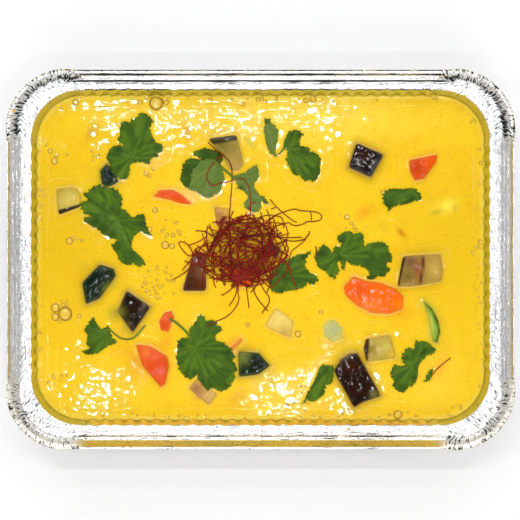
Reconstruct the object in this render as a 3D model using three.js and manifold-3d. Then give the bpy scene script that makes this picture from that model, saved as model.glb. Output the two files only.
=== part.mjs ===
// A filled oblong foil takeaway tray: yellow curry with vegetables, coriander leaves
// and a nest of chilli threads. Millimetres, +Z up, +X along the tray. The origin is
// the middle of the flat base.

import * as THREE from 'three';
import { mergeVertices } from 'three/addons/utils/BufferGeometryUtils.js';
import Module from 'manifold-3d';

const wasm = await Module();
wasm.setup();

// ---- Foil tray ----------------------------------------------------------------
const FOIL = 0.4; // wall thickness of the solid
const MOUTH = { halfX: 97.2, halfY: 71, radius: 21 }; // inner edge of the ledge
const FOOT = { halfX: 88.2, halfY: 61.4, radius: 15 }; // inside, just above the base
const FLOOR = { halfX: 85, halfY: 58.2, radius: 12 }; // inside, the flat of the base
const CREASE = { halfX: 102.5, halfY: 75.7, radius: 19 }; // where ledge meets flange
const BEAD = { halfX: 103.3, halfY: 76.5, radius: 20 }; // top of the small step there
const RIM = { halfX: 106.3, halfY: 79.3, radius: 27 }; // top of the upright flange
const FOOT_HEIGHT = 4;
const LEDGE_HEIGHT = 40;
const BEAD_RISE = 0.9;
const RIM_HEIGHT = 45;
const RIM_ROLL = 0.9; // thickness of the rolled edge
const FLUTES_LONG = 28; // flutes on each long side
const FLUTES_SHORT = 18;
const FLUTE_FOOT = 0.6; // depth of a flute, crest to mean
const FLUTE_MOUTH = 0.25;
const CAVITY_SHIFT = 0.8; // the cavity lies off the rim's middle: the near flange leans out more
const CORNER_STEPS = 12;
const CORNER_BULGE = 1.3; // how far the pleated corners of the flange stand out

// ---- Sauce --------------------------------------------------------------------
const GAP = 0.32; // clearance between touching pieces
const SAUCE_LEVEL = 33.5;
const SAUCE_CELL = 7.6;
const SAUCE_RIPPLE = 0.25;
const MENISCUS = 0.5;
const MENISCUS_REACH = 5;

// ---- Garnish ------------------------------------------------------------------
const BEVEL = 0.5;
const LEAF_THICKNESS = 0.45;
const LEAF_WAVE = 0.9;
const LEAF_CELL = 5.7;
const LEAF_MARGIN = 3.3; // how far round a grid point a leaf looks for what it lies on
const STEM_RADIUS = 0.55;
const THREAD_RADIUS = 0.32;
const THREAD_STEP = 4.1;
const THREAD_MARGIN = 2.3;
const NEST = { x: -9, y: 4.8, halfX: 11, halfY: 7.3, rise: 3.8, sunk: 2 };
const NEST_SIDES = 18;
const NEST_LOOPS = 9;
const NEST_ARCHES = 3;
const THREAD_LAYER = 0.75; // height between threads that pass over each other
const ARCH_DIP = 4.5;
const NEST_SEED = 41;

const COLOURS = {
  foil: { color: 0xd3d7d6, roughness: 0.28, metalness: 1 },
  sauce: { color: 0xf0bf26, roughness: 0.2, metalness: 0 },
  aubergine: { color: 0x9a7a45, roughness: 0.35, metalness: 0 },
  aubergineSkin: { color: 0x2c1a10, roughness: 0.2, metalness: 0 },
  zucchini: { color: 0x24351f, roughness: 0.3, metalness: 0 },
  zucchiniFlesh: { color: 0xbdb871, roughness: 0.4, metalness: 0 },
  carrot: { color: 0xf06414, roughness: 0.35, metalness: 0 },
  leaf: { color: 0x456f19, roughness: 0.5, metalness: 0 },
  chilli: { color: 0x7a1f10, roughness: 0.5, metalness: 0 },
};

// Swellings of the sauce over pieces that lie below its surface: [x, y, height, radius].
const MOUNDS = [
  [-71.4, 55.5, 1.1, 7],
  [-31.8, 55.5, 1.1, 7],
  [-4.2, 50.9, 0.9, 6],
  [43.8, 19.8, 1.0, 6],
  [60, 12.1, 0.9, 6],
  [78.2, 22.3, 0.9, 6],
  [-82.4, -32.9, 1.3, 9],
  [-42.9, -33.8, 1.0, 7],
  [-8.9, -61.8, 1.2, 9],
  [46.4, -25.3, 0.8, 6],
  [16.6, -31.7, 0.9, 6],
  [-70.5, -50.8, 1.0, 9],
  [10.2, -45, 1.1, 8],
  [27.2, -38, 0.9, 6],
];

// Cut vegetables. Each has its outline in plan, how far it stands out of the sauce,
// how deep it goes and how its top leans along x and y.
const AUBERGINE = [
  {
    name: 'aubergine_far_left', rise: 2.2, sunk: 8, lean: [0.02, 0.05],
    outline: [[-87.1, 30.2], [-79.3, 30.8], [-76.7, 27], [-77.1, 22.5], [-86.2, 19.1]],
  },
  {
    name: 'aubergine_wedge', rise: 3, sunk: 8, lean: [0, 0.08],
    outline: [
      [-22.3, 51.4], [-10.4, 53.1], [-8.3, 45.7], [-7.4, 40.6], [-9.6, 38], [-13, 38.5], [-16.4, 44.8],
    ],
  },
  {
    name: 'aubergine_dark_cube', dark: true, rise: 3.2, sunk: 9, lean: [0.04, -0.03],
    outline: [[41, 49.7], [52.5, 44.6], [47, 35.1], [37.6, 39.4]],
  },
  {
    name: 'aubergine_by_nest', rise: 0.8, sunk: 7, lean: [0, 0],
    outline: [[-19.8, 22.7], [-13, 21.9], [-13.4, 14.7], [-18.9, 14.7]],
  },
  {
    name: 'aubergine_brown', rise: 2, sunk: 8, lean: [0.05, -0.03],
    outline: [[-28.7, 2.8], [-23.2, 2.8], [-23.2, -13.4], [-33.4, -13.4]],
  },
  {
    name: 'aubergine_split', rise: 3.2, sunk: 9, lean: [0.02, 0.02],
    outline: [[60.8, 1.5], [76.5, 2.3], [77.6, -4], [77.1, -9.1], [67.4, -11], [58.4, -11.6]],
  },
  {
    name: 'aubergine_diamond', dark: true, rise: 2, sunk: 8, lean: [0.08, 0],
    outline: [[-57.2, -13.4], [-47, -20.2], [-54.6, -31.2], [-61, -22.3]],
  },
  {
    name: 'aubergine_large', dark: true, rise: 3.4, sunk: 9, lean: [-0.03, 0.02],
    outline: [
      [31.2, -47.4], [34.5, -42.5], [38, -40.2], [41.2, -39.9], [51.4, -58.2], [43.1, -61], [39.9, -63.1],
    ],
  },
  {
    name: 'aubergine_pale', rise: 2.3, sunk: 8, lean: [-0.06, 0.02],
    outline: [[45.1, -33.8], [55.4, -32.1], [57.8, -41.9], [45.3, -43.6], [44, -38]],
  },
  {
    name: 'aubergine_under_leaf', rise: 1.2, sunk: 8, lean: [0, -0.03],
    outline: [[-27, -50.6], [-18.5, -57.6], [-22, -62.3], [-30.8, -55]],
  },
  {
    name: 'aubergine_middle', rise: 1.5, sunk: 8, lean: [-0.02, -0.06],
    outline: [[6.6, -20.6], [14.2, -26.6], [12.5, -33.4], [1.9, -28.3]],
  },
];

const ZUCCHINI = [
  {
    name: 'zucchini_left', rise: 2, sunk: 7, lean: [0, -0.04],
    outline: [[-68.8, -2], [-62.7, -4], [-61.8, -7], [-68.8, -16.7], [-74.6, -19.1], [-76.3, -10]],
  },
  {
    name: 'zucchini_under_leaf', rise: 1.2, sunk: 7, lean: [0, 0],
    outline: [[-68.6, 38], [-65.7, 41], [-62.7, 37.6], [-60.6, 33.4], [-64.4, 31.2], [-67.8, 32.1]],
  },
  {
    name: 'zucchini_lower', rise: 2.2, sunk: 7, lean: [-0.03, -0.04],
    outline: [[-9.6, -39.3], [-0.8, -39.9], [4, -45.3], [-0.8, -49.1], [-9.1, -50.1]],
  },
  {
    name: 'zucchini_rim', rise: 2, sunk: 8, lean: [0.08, 0],
    outline: [
      [69.5, -17.6], [73.3, -21], [75.9, -26.1], [76.7, -30.8], [75.4, -35.5], [73.7, -35.1], [72.9, -30],
      [72, -24.9], [70.8, -20.6],
    ],
  },
  {
    name: 'zucchini_in_nest', rise: 1.4, sunk: 7, lean: [0, 0],
    outline: [[3.2, 5.7], [6.6, 6.2], [8.7, 3.6], [6.6, 0.6], [3.2, 2.3]],
  },
];

const ZUCCHINI_DISC = {
  name: 'zucchini_disc', rise: 0.8, sunk: 7, lean: [0, 0],
  outline: [
    [28.3, -26.1], [32.1, -25.7], [35.1, -29.1], [35.5, -33.4], [30.8, -35.5], [27, -32.5], [26.6, -28.7],
  ],
};

const CARROT = [
  {
    name: 'carrot_crescent', rise: 1.5, sunk: 6, lean: [0, 0.08],
    outline: [
      [-45.7, 27], [-43.1, 29.5], [-37.6, 29.8], [-33.8, 27.8], [-29.1, 23.6], [-34.2, 24], [-39.3, 25.7],
    ],
  },
  {
    name: 'carrot_upper_right', rise: 2.4, sunk: 6, lean: [0.04, 0.04],
    outline: [[63.5, 42.3], [75.4, 44.8], [75, 41.9], [69.9, 34.6], [66, 33.8], [64, 37.6]],
  },
  {
    name: 'carrot_large', rise: 2.2, sunk: 3, lean: [0, 0.04],
    outline: [
      [35.5, -11.7], [39.7, -7.2], [44.8, -9.1], [51.2, -10], [57.6, -12.5], [61, -15.9], [60.6, -21],
      [55, -23.2], [47.4, -22.7], [41.4, -19.8], [36.3, -15.1],
    ],
  },
  {
    name: 'carrot_lower_left', rise: 2.6, sunk: 5, lean: [0.05, 0],
    outline: [
      [-53.1, -36.2], [-47.4, -36.9], [-39.9, -41.3], [-39, -45.3], [-40.6, -52.9], [-42.4, -54.5],
      [-50.4, -45.3],
    ],
  },
  {
    name: 'carrot_half_sunk', rise: 1, sunk: 5, lean: [0, 0.06],
    outline: [[-43.6, -26.6], [-41, -22.7], [-38, -21.9], [-36.8, -24.9], [-39.3, -31.2], [-42.7, -30.4]],
  },
  {
    name: 'carrot_in_nest', rise: 1.8, sunk: 5, lean: [0, 0],
    outline: [[-12.5, -4.9], [-7, -4], [-2.8, -6.2], [-3.6, -10.8], [-8.7, -11.7], [-12.5, -8.7]],
  },
  {
    name: 'carrot_sliver', rise: 0.7, sunk: 4, lean: [0, 0],
    outline: [[-13.2, -37.4], [-8.5, -33.2], [-7.2, -34.8], [-11.9, -39]],
  },
];

// Coriander: each sprig is one or two leaf blades and the stalk that joins or ends them.
const SPRIGS = [
  {
    name: 'coriander_upper_left', wave: 0.3,
    blades: [[
      [-49.9, 62.7], [-46.1, 59.3], [-47, 54.6], [-45.3, 50.4], [-41.9, 47.8], [-44, 43.6], [-48.2, 41.9],
      [-54.2, 41.9], [-55.9, 38.9], [-57.2, 34.6], [-60.1, 35.5], [-64, 41], [-65.7, 45.3], [-63.1, 47.8],
      [-58.4, 48.7], [-60.6, 51.2], [-59.7, 57.6], [-55.9, 58.9],
    ]],
  },
  {
    name: 'coriander_left', wave: 1.4,
    blades: [[
      [-69.1, 32.1], [-66.1, 30], [-62.7, 31.2], [-59.7, 27.8], [-59.3, 22.3], [-55.9, 18.5], [-50.4, 19.3],
      [-47, 10.4], [-52.1, 12.1], [-55, 8.3], [-55, 4], [-49.5, -1.1], [-50.8, -2.8], [-57.2, -2.8],
      [-60.6, 0.6], [-63.5, 5.7], [-60.6, 8.3], [-66.5, 10.4], [-75, 16.8], [-72, 18.1], [-76.7, 23.6],
      [-75.4, 27.8], [-72, 29.5],
    ]],
  },
  {
    name: 'coriander_pair', wave: 2.2,
    blades: [
      [
        [-29.1, 45.7], [-23.6, 47.4], [-17.4, 46.1], [-18, 42], [-15.1, 35.5], [-17.6, 30.4],
        [-22.3, 26.6], [-25.7, 29.1], [-31.2, 30.4], [-34.2, 34.6], [-32.9, 41.4], [-27, 43.6],
      ],
      [
        [-12.1, 36.3], [-6.2, 37.6], [-1.1, 40.6], [-0.2, 38], [-2.3, 33.4], [-1.1, 29.1], [4, 23.6],
        [0.6, 23.2], [-1.5, 20.2], [-4.9, 20.6], [-7.4, 24], [-5.3, 28.3], [-10, 30.4], [-9.6, 33.8],
      ],
    ],
    stalk: [[-21.5, 40], [-17.6, 38], [-14.3, 35.9], [-9, 34]],
  },
  {
    name: 'coriander_hooked', wave: 0.8,
    blades: [
      [
        [1.9, 60.1], [4, 60.1], [7, 57.2], [7.4, 52.5], [6.2, 47.4], [6.6, 44.4], [4.9, 45.7],
        [2.8, 49.5], [1.5, 53.8],
      ],
      [
        [10.8, 53.3], [13.8, 55], [18.1, 53.8], [16.4, 49.5], [21.5, 46.5], [24.4, 44], [25.7, 39.7],
        [23.2, 33.4], [19.8, 33.4], [15.9, 35.9], [12.5, 38], [10.8, 43.1], [11.7, 47.8], [10, 49.9],
      ],
    ],
    stalk: [[4.8, 49], [6.4, 45.4], [8.9, 46], [12.2, 50.4]],
  },
  {
    name: 'coriander_upper_right', wave: 3.1,
    blades: [[
      [51.6, 27], [54.6, 30], [60.6, 30], [64, 30.4], [68.6, 26.6], [67.4, 24], [61.4, 23.6],
      [56.7, 22.7], [54.6, 20.6], [52.5, 23.6],
    ]],
  },
  {
    name: 'coriander_right', wave: 0.4,
    blades: [[
      [32.9, 8.7], [35.9, 11.7], [42.7, 11.3], [44.4, 5.7], [51.6, 7], [55, 1.9], [55.9, -0.2],
      [53.3, -2.3], [54.2, -4.9], [48.2, -8.3], [44.8, -7], [44.8, -3.6], [38.9, -1.5], [35.1, -4],
      [33.4, -7.4], [30.8, -7.9], [24, -3.6], [23.2, 1.1], [25.7, 2.3], [25.3, 4.9], [27.8, 6.2],
      [30, 3.2],
    ]],
  },
  {
    name: 'coriander_by_nest', wave: 1.9,
    blades: [[
      [21, 3.6], [20.2, -0.6], [19.3, -3.6], [23.2, -5.7], [24.4, -8.7], [19.8, -11.3], [14.2, -13],
      [7.4, -14.2], [4, -12.1], [3.2, -7.9], [4.9, -1.5], [12.5, -0.2], [15.9, 2.3],
    ]],
  },
  {
    name: 'coriander_lower_left', wave: 2.7,
    blades: [[
      [-71.6, -24.9], [-69.1, -29.5], [-65.2, -28.7], [-63.5, -32.5], [-61.4, -35.1], [-66.1, -36.8],
      [-69.9, -39.3], [-75.9, -39.7], [-72.9, -36.3], [-74.2, -32.1], [-75, -29.1],
    ]],
    stalk: [[-68, -33], [-64.4, -30.6], [-61.8, -33], [-56.7, -34.3], [-52.3, -32.5], [-49.5, -28.3]],
  },
  {
    name: 'coriander_large', wave: 1.1,
    blades: [[
      [-25.7, -23.2], [-20.2, -27], [-16.4, -29.1], [-18.5, -34.2], [-13.8, -37.2], [-11.3, -41.4],
      [-13, -43.6], [-10, -47.4], [-11.7, -52.9], [-17.6, -56.3], [-24, -54.6], [-26.6, -48.7],
      [-30.4, -50.8], [-34.2, -47.4], [-35.9, -41], [-35.1, -35.1], [-30, -33.4], [-30, -27.4],
    ]],
    stalk: [[-38.5, -24.6], [-34.2, -27.4], [-30.5, -31.3], [-27, -38]],
  },
  {
    name: 'coriander_folded', wave: 0.2,
    blades: [[
      [18.1, -61.8], [22.3, -52.1], [25.7, -45.3], [28.7, -45.7], [32.1, -43.1], [30.4, -49.5],
      [27, -53.8], [26.6, -57.2], [22.7, -60.6],
    ]],
  },
  {
    name: 'coriander_lower_right', wave: 2.4,
    blades: [[
      [66.1, -34.6], [71.2, -36.3], [74.2, -38.9], [69.5, -41.9], [66.9, -45.3], [66.5, -49.5],
      [60.1, -56.7], [55.9, -54.6], [57.2, -50.8], [55, -48.7], [57.2, -44.8], [61.4, -45.3],
      [60.1, -41.4], [61.4, -38], [65.2, -38],
    ]],
  },
  {
    name: 'coriander_scrap', wave: 0.9,
    blades: [[[73.3, -45.7], [72.5, -49.5], [70.8, -51.6], [69.5, -51.6], [71.2, -47.8]]],
  },
];

// Threads of the nest that stray over the sauce; each has an end in the heart of the nest.
const STRAYS = [
  [[-22.3, 49.1], [-15.5, 44], [-12.1, 38.9], [-12.1, 29.5], [-12, 8]],
  [[-15.5, 44], [-22.7, 37.2], [-20.6, 31.7], [-13.4, 33.4], [-8.3, 34.6], [-4.9, 29.5], [-4, 23.2], [-7, 8]],
  [[-3, 9], [6.6, 19.8], [14.2, 21], [24.4, 20.2], [26.1, 18.1], [21.5, 16.4], [12.5, 15.5], [-2, 7]],
  [[6.2, 23.2], [10.8, 19.3], [15.5, 16.4], [13.4, 13.2], [-1, 6]],
  [[20.6, 11.3], [16.8, 7], [12.1, 2.8], [-1, 3]],
  [[21, 9.1], [12.5, 10], [-2, 8]],
  [
    [-17, 6], [-25.7, 5.3], [-29.5, 1.5], [-33.4, 4.9], [-34.2, 7.4], [-30.8, 6.6], [-28.5, 1.5],
    [-32.9, -4.5],
  ],
  [[-36.8, -8.3], [-32.5, -5.7], [-26.4, -1.1], [-16, 4]],
  [[-10, -0.5], [-9.8, -10.8], [-10.4, -18.5], [-13.8, -24.9], [-22.7, -28.7]],
  [[-8, -0.5], [-6.6, -10.8], [-5.7, -16.4], [-4, -21]],
  [[-5, 0], [-3.6, -8.7], [-1.9, -16.4], [3.2, -21.9]],
  [[-3, 2], [9.1, 0.6], [12.5, -6.6], [15.9, -13.4]],
  [[-2, 3], [11, -2], [9.6, -8.7], [4, -12.4]],
];

const LOOSE_THREADS = [
  { name: 'chilli_thread_short', path: [[23.6, 5.6], [23.1, 3.5], [21.9, 1.3]] },
  { name: 'chilli_thread_right', path: [[81.1, -42], [77.6, -45.3], [73.5, -49.5]] },
];

// ---- Solids -------------------------------------------------------------------

/** Closed solid from a list of points and a list of triangles. */
function solidFrom(points, faces) {
  return new wasm.Manifold(new wasm.Mesh({
    numProp: 3,
    vertProperties: Float32Array.from(points.flat()),
    triVerts: Uint32Array.from(faces.flat()),
  }));
}

/** Closed solid from a three.js geometry without open edges. */
function solidFromGeometry(geometry) {
  geometry.deleteAttribute('normal');
  geometry.deleteAttribute('uv');
  const merged = mergeVertices(geometry, 1e-4);
  return new wasm.Manifold(new wasm.Mesh({
    numProp: 3,
    vertProperties: Float32Array.from(merged.attributes.position.array),
    triVerts: Uint32Array.from(merged.index.array),
  }));
}

/** Skin drawn over a row of rings. A ring may have half or twice the points of the last. */
class Loft {
  constructor() {
    this.points = [];
    this.faces = [];
    this.last = null;
  }

  ring(points) {
    const first = this.points.length;
    this.points.push(...points);
    const next = points.map((_, i) => first + i);
    if (this.last) this.join(this.last, next);
    this.last = next;
    return this;
  }

  pole(x, y, z) {
    return this.ring([[x, y, z]]);
  }

  join(a, b) {
    const count = Math.max(a.length, b.length);
    const at = (ring, i) => ring[Math.floor(((i % count) * ring.length) / count)];
    for (let i = 0; i < count; i += 1) {
      const [a0, a1, b0, b1] = [at(a, i), at(a, i + 1), at(b, i), at(b, i + 1)];
      if (a0 !== a1) this.faces.push([a0, a1, b1]);
      if (b0 !== b1) this.faces.push([a0, b1, b0]);
    }
  }

  solid() {
    return solidFrom(this.points, this.faces);
  }
}

/** Repeatable numbers from 0 to 1. */
function randomSource(seed) {
  let state = seed;
  return () => {
    state = (state * 1664525 + 1013904223) % 4294967296;
    return state / 4294967296;
  };
}

/** Whether a point of the plan lies inside an outline. */
function inside(outline, x, y) {
  let odd = false;
  for (let i = 0, j = outline.length - 1; i < outline.length; j = i, i += 1) {
    const [xi, yi] = outline[i];
    const [xj, yj] = outline[j];
    const crosses = yi > y !== yj > y && x < ((xj - xi) * (y - yi)) / (yj - yi) + xi;
    if (crosses) odd = !odd;
  }
  return odd;
}

/** Distance in plan from a point to a path of straight stretches. */
function distanceTo(path, x, y) {
  const point = new THREE.Vector3(x, y, 0);
  const nearest = new THREE.Vector3();
  return Math.min(...path.slice(1).map((end, i) => {
    const line = new THREE.Line3(new THREE.Vector3(...path[i], 0), new THREE.Vector3(...end, 0));
    return line.closestPointToPoint(point, true, nearest).distanceTo(point);
  }));
}

/** Middle of an outline's corners. */
function middle(outline) {
  const sum = outline.reduce(([x, y], p) => [x + p[0], y + p[1]], [0, 0]);
  return [sum[0] / outline.length, sum[1] / outline.length];
}

/** Heights on a square grid, split into triangles the same way everywhere. */
class HeightGrid {
  constructor({ left, right, low, high }, cell, heightAt) {
    this.columns = Math.ceil((right - left) / cell);
    this.rows = Math.ceil((high - low) / cell);
    this.cellX = (right - left) / this.columns;
    this.cellY = (high - low) / this.rows;
    this.left = left;
    this.low = low;
    this.heights = [];
    for (let j = 0; j <= this.rows; j += 1) {
      for (let i = 0; i <= this.columns; i += 1) {
        this.heights.push(heightAt(left + i * this.cellX, low + j * this.cellY));
      }
    }
  }

  index(i, j) {
    return j * (this.columns + 1) + i;
  }

  at(x, y) {
    const u = THREE.MathUtils.clamp((x - this.left) / this.cellX, 0, this.columns - 1e-6);
    const v = THREE.MathUtils.clamp((y - this.low) / this.cellY, 0, this.rows - 1e-6);
    const [i, j] = [Math.floor(u), Math.floor(v)];
    const [fu, fv] = [u - i, v - j];
    const h00 = this.heights[this.index(i, j)];
    const h11 = this.heights[this.index(i + 1, j + 1)];
    if (fu > fv) {
      const h10 = this.heights[this.index(i + 1, j)];
      return h00 + fu * (h10 - h00) + fv * (h11 - h10);
    }
    const h01 = this.heights[this.index(i, j + 1)];
    return h00 + fv * (h01 - h00) + fu * (h11 - h01);
  }

  /** Solid between these heights and the same grid at the heights that below gives. */
  slab(below) {
    const points = [];
    const count = this.heights.length;
    for (const lower of [false, true]) {
      for (let j = 0; j <= this.rows; j += 1) {
        for (let i = 0; i <= this.columns; i += 1) {
          const height = this.heights[this.index(i, j)];
          const z = lower ? below(height) : height;
          points.push([this.left + i * this.cellX, this.low + j * this.cellY, z]);
        }
      }
    }
    const faces = [];
    for (let j = 0; j < this.rows; j += 1) {
      for (let i = 0; i < this.columns; i += 1) {
        const [a, b] = [this.index(i, j), this.index(i + 1, j)];
        const [c, d] = [this.index(i + 1, j + 1), this.index(i, j + 1)];
        faces.push([a, b, c], [a, c, d]);
        faces.push([count + a, count + c, count + b], [count + a, count + d, count + c]);
      }
    }
    const edge = [];
    for (let i = 0; i < this.columns; i += 1) edge.push(this.index(i, 0));
    for (let j = 0; j < this.rows; j += 1) edge.push(this.index(this.columns, j));
    for (let i = this.columns; i > 0; i -= 1) edge.push(this.index(i, this.rows));
    for (let j = this.rows; j > 0; j -= 1) edge.push(this.index(0, j));
    edge.forEach((a, k) => {
      const b = edge[(k + 1) % edge.length];
      faces.push([count + a, count + b, b], [count + a, b, a]);
    });
    return solidFrom(points, faces);
  }
}

/** Upright prism over an outline, for cutting sheets to shape. */
function prism(outline, low, high) {
  const shape = new THREE.Shape(outline.map(([x, y]) => new THREE.Vector2(x, y)));
  const geometry = new THREE.ExtrudeGeometry(shape, { depth: high - low, bevelEnabled: false });
  geometry.translate(0, 0, low);
  return solidFromGeometry(geometry);
}

// ---- Tray ---------------------------------------------------------------------

/** Places round the tray: fluted straights and the corners between them. */
function trayStations() {
  const stations = [];
  for (let side = 0; side < 4; side += 1) {
    const flutes = side % 2 === 0 ? FLUTES_SHORT : FLUTES_LONG;
    for (let i = 0; i < 2 * flutes; i += 1) {
      stations.push({ side, along: (i + 0.5) / flutes - 1, sign: i % 2 === 0 ? 1 : -1 });
    }
    for (let i = 0; i <= CORNER_STEPS; i += 1) {
      stations.push({ side, sweep: i / CORNER_STEPS });
    }
  }
  return stations;
}

/** One closed outline of the tray at the height z, at every place or at every other one. */
function trayRing(size, z, { flute = 0, bulge = 0, shift = CAVITY_SHIFT, sparse = false } = {}) {
  const points = trayStations().map(({ side, along, sweep, sign }) => {
    const turn = (side * Math.PI) / 2;
    const [reach, span] = side % 2 === 0 ? [size.halfX, size.halfY] : [size.halfY, size.halfX];
    const straight = along !== undefined;
    const angle = straight ? 0 : (sweep * Math.PI) / 2;
    const swell = straight ? flute * sign : bulge * Math.sin(sweep * Math.PI) ** 0.6;
    const out = straight ? reach + swell : reach - size.radius + (size.radius + swell) * Math.cos(angle);
    const across = straight
      ? along * (span - size.radius)
      : span - size.radius + (size.radius + swell) * Math.sin(angle);
    const x = out * Math.cos(turn) - across * Math.sin(turn);
    const y = out * Math.sin(turn) + across * Math.cos(turn);
    return [x, y + shift, z];
  });
  return sparse ? points.filter((_, i) => i % 2 === 0) : points;
}

/** A tray outline moved outwards by a distance. */
function grown(size, by) {
  return { halfX: size.halfX + by, halfY: size.halfY + by, radius: size.radius + by };
}

function makeTray() {
  const loft = new Loft();
  const flange = { bulge: CORNER_BULGE, shift: 0, sparse: true };
  loft.pole(0, CAVITY_SHIFT, 0);
  loft.ring(trayRing(grown(FLOOR, FOIL), 0, { sparse: true }));
  loft.ring(trayRing(grown(FOOT, FOIL), FOOT_HEIGHT, { flute: FLUTE_FOOT }));
  loft.ring(trayRing(grown(MOUTH, FOIL), LEDGE_HEIGHT - FOIL, { flute: FLUTE_MOUTH }));
  loft.ring(trayRing(grown(CREASE, FOIL / 2), LEDGE_HEIGHT - FOIL, { sparse: true }));
  loft.ring(trayRing(RIM, RIM_HEIGHT - RIM_ROLL, flange));
  loft.ring(trayRing(grown(RIM, RIM_ROLL * 0.6), RIM_HEIGHT - RIM_ROLL * 0.6, flange));
  loft.ring(trayRing(RIM, RIM_HEIGHT, flange));
  loft.ring(trayRing(grown(BEAD, 0.2), LEDGE_HEIGHT + BEAD_RISE, { sparse: true }));
  loft.ring(trayRing(CREASE, LEDGE_HEIGHT, { sparse: true }));
  loft.ring(trayRing(MOUTH, LEDGE_HEIGHT, { flute: FLUTE_MOUTH }));
  loft.ring(trayRing(FOOT, FOOT_HEIGHT, { flute: FLUTE_FOOT }));
  loft.ring(trayRing(FLOOR, FOIL, { sparse: true }));
  loft.pole(0, CAVITY_SHIFT, FOIL);
  return loft.solid();
}

// ---- Sauce --------------------------------------------------------------------

/** Height of the sauce, with its swellings, slow ripples and the creep up the wall. */
function sauceHeight(x, y) {
  const swell = MOUNDS.reduce((sum, [mx, my, height, radius]) => (
    sum + height * Math.exp(-((x - mx) ** 2 + (y - my) ** 2) / radius ** 2)
  ), 0);
  const waves = Math.sin(x * 0.11 + 1.2) * Math.cos(y * 0.13 - 0.4) + Math.sin(x * 0.05 + y * 0.09);
  const wall = Math.min(MOUTH.halfX - Math.abs(x), MOUTH.halfY - Math.abs(y - CAVITY_SHIFT));
  const creep = MENISCUS * Math.max(0, 1 - wall / MENISCUS_REACH);
  return SAUCE_LEVEL + swell + SAUCE_RIPPLE * waves + creep;
}

function makeSauceGrid() {
  const { halfX, halfY } = grown(MOUTH, 1 + CAVITY_SHIFT);
  const bounds = { left: -halfX, right: halfX, low: -halfY, high: halfY };
  return new HeightGrid(bounds, SAUCE_CELL, sauceHeight);
}

function makeSauce(grid, pockets) {
  const room = new Loft();
  room.pole(0, CAVITY_SHIFT, FOIL + GAP);
  room.ring(trayRing(grown(FLOOR, -GAP), FOIL + GAP, { sparse: true }));
  room.ring(trayRing(grown(FOOT, -GAP - FLUTE_FOOT), FOOT_HEIGHT + GAP, { sparse: true }));
  room.ring(trayRing(grown(MOUTH, -GAP - FLUTE_MOUTH), LEDGE_HEIGHT, { sparse: true }));
  room.pole(0, CAVITY_SHIFT, LEDGE_HEIGHT);
  const block = grid.slab(() => -1).intersect(room.solid());
  return pockets.reduce((sauce, pocket) => sauce.subtract(pocket), block);
}

// ---- Vegetables ---------------------------------------------------------------

/** Height of a piece's leaning top at a point of the plan, if the piece lies there. */
function chunkTop({ outline, rise, lean }, x, y) {
  if (!inside(outline, x, y)) return -Infinity;
  const [cx, cy] = middle(outline);
  return SAUCE_LEVEL + rise + lean[0] * (x - cx) + lean[1] * (y - cy);
}

/** Cut piece with bevelled edges and a leaning top. */
function makeChunk(piece) {
  const shape = new THREE.Shape(piece.outline.map(([x, y]) => new THREE.Vector2(x, y)));
  const geometry = new THREE.ExtrudeGeometry(shape, {
    depth: piece.rise + piece.sunk - 2 * BEVEL,
    bevelThickness: BEVEL,
    bevelSize: BEVEL,
    bevelOffset: -BEVEL,
    bevelSegments: 1,
  });
  const [cx, cy] = middle(piece.outline);
  const place = geometry.attributes.position;
  for (let i = 0; i < place.count; i += 1) {
    const tilt = piece.lean[0] * (place.getX(i) - cx) + piece.lean[1] * (place.getY(i) - cy);
    place.setZ(i, place.getZ(i) + SAUCE_LEVEL - piece.sunk + BEVEL + tilt);
  }
  return solidFromGeometry(geometry);
}

/** Room that a piece takes up in the sauce, open to the top. */
function makePocket({ outline, sunk, lean }) {
  const [cx, cy] = middle(outline);
  const drop = Math.max(...outline.map(([x, y]) => -lean[0] * (x - cx) - lean[1] * (y - cy)));
  const around = outline.map(([x, y], i) => {
    const [px, py] = outline[(i + outline.length - 1) % outline.length];
    const [nx, ny] = outline[(i + 1) % outline.length];
    const before = new THREE.Vector2(y - py, px - x).normalize();
    const after = new THREE.Vector2(ny - y, x - nx).normalize();
    const turned = THREE.ShapeUtils.isClockWise(outline.map((p) => new THREE.Vector2(...p))) ? -1 : 1;
    const reach = (turned * GAP) / Math.max(0.5, 1 + before.dot(after));
    return [x + reach * (before.x + after.x), y + reach * (before.y + after.y)];
  });
  return prism(around, SAUCE_LEVEL - sunk - drop - GAP, LEDGE_HEIGHT);
}

// ---- What lies on top ---------------------------------------------------------

/** The surface that a leaf or a thread lies on: the highest of several layers. */
class Ground {
  constructor(layers) {
    this.layers = layers;
  }

  /** Highest point of the layers within a distance of a point of the plan. */
  highest(x, y, reach) {
    let best = -Infinity;
    for (let ring = 0; ring <= 2; ring += 1) {
      const count = ring === 0 ? 1 : 10;
      for (let i = 0; i < count; i += 1) {
        const angle = (i / count) * 2 * Math.PI;
        const px = x + (reach * ring * Math.cos(angle)) / 2;
        const py = y + (reach * ring * Math.sin(angle)) / 2;
        best = this.layers.reduce((top, layer) => Math.max(top, layer(px, py)), best);
      }
    }
    return best;
  }
}

/** Tube with four sides along a path in plan, at the height that heightAt gives. */
function makeStrand(path, radius, heightAt) {
  const flat = path.map(([x, y]) => new THREE.Vector3(x, y, 0));
  const plan = new THREE.CatmullRomCurve3(flat, false, 'centripetal');
  const steps = Math.max(3, Math.round(plan.getLength() / THREAD_STEP));
  const points = plan.getSpacedPoints(steps).map((p) => new THREE.Vector3(p.x, p.y, heightAt(p.x, p.y)));
  const section = [0, 1, 2, 3].map((i) => (
    new THREE.Vector2(radius * Math.cos((i * Math.PI) / 2), radius * Math.sin((i * Math.PI) / 2))
  ));
  const geometry = new THREE.ExtrudeGeometry(new THREE.Shape(section), {
    steps,
    bevelEnabled: false,
    extrudePath: new THREE.CatmullRomCurve3(points, false, 'centripetal'),
  });
  return solidFromGeometry(geometry);
}

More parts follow.
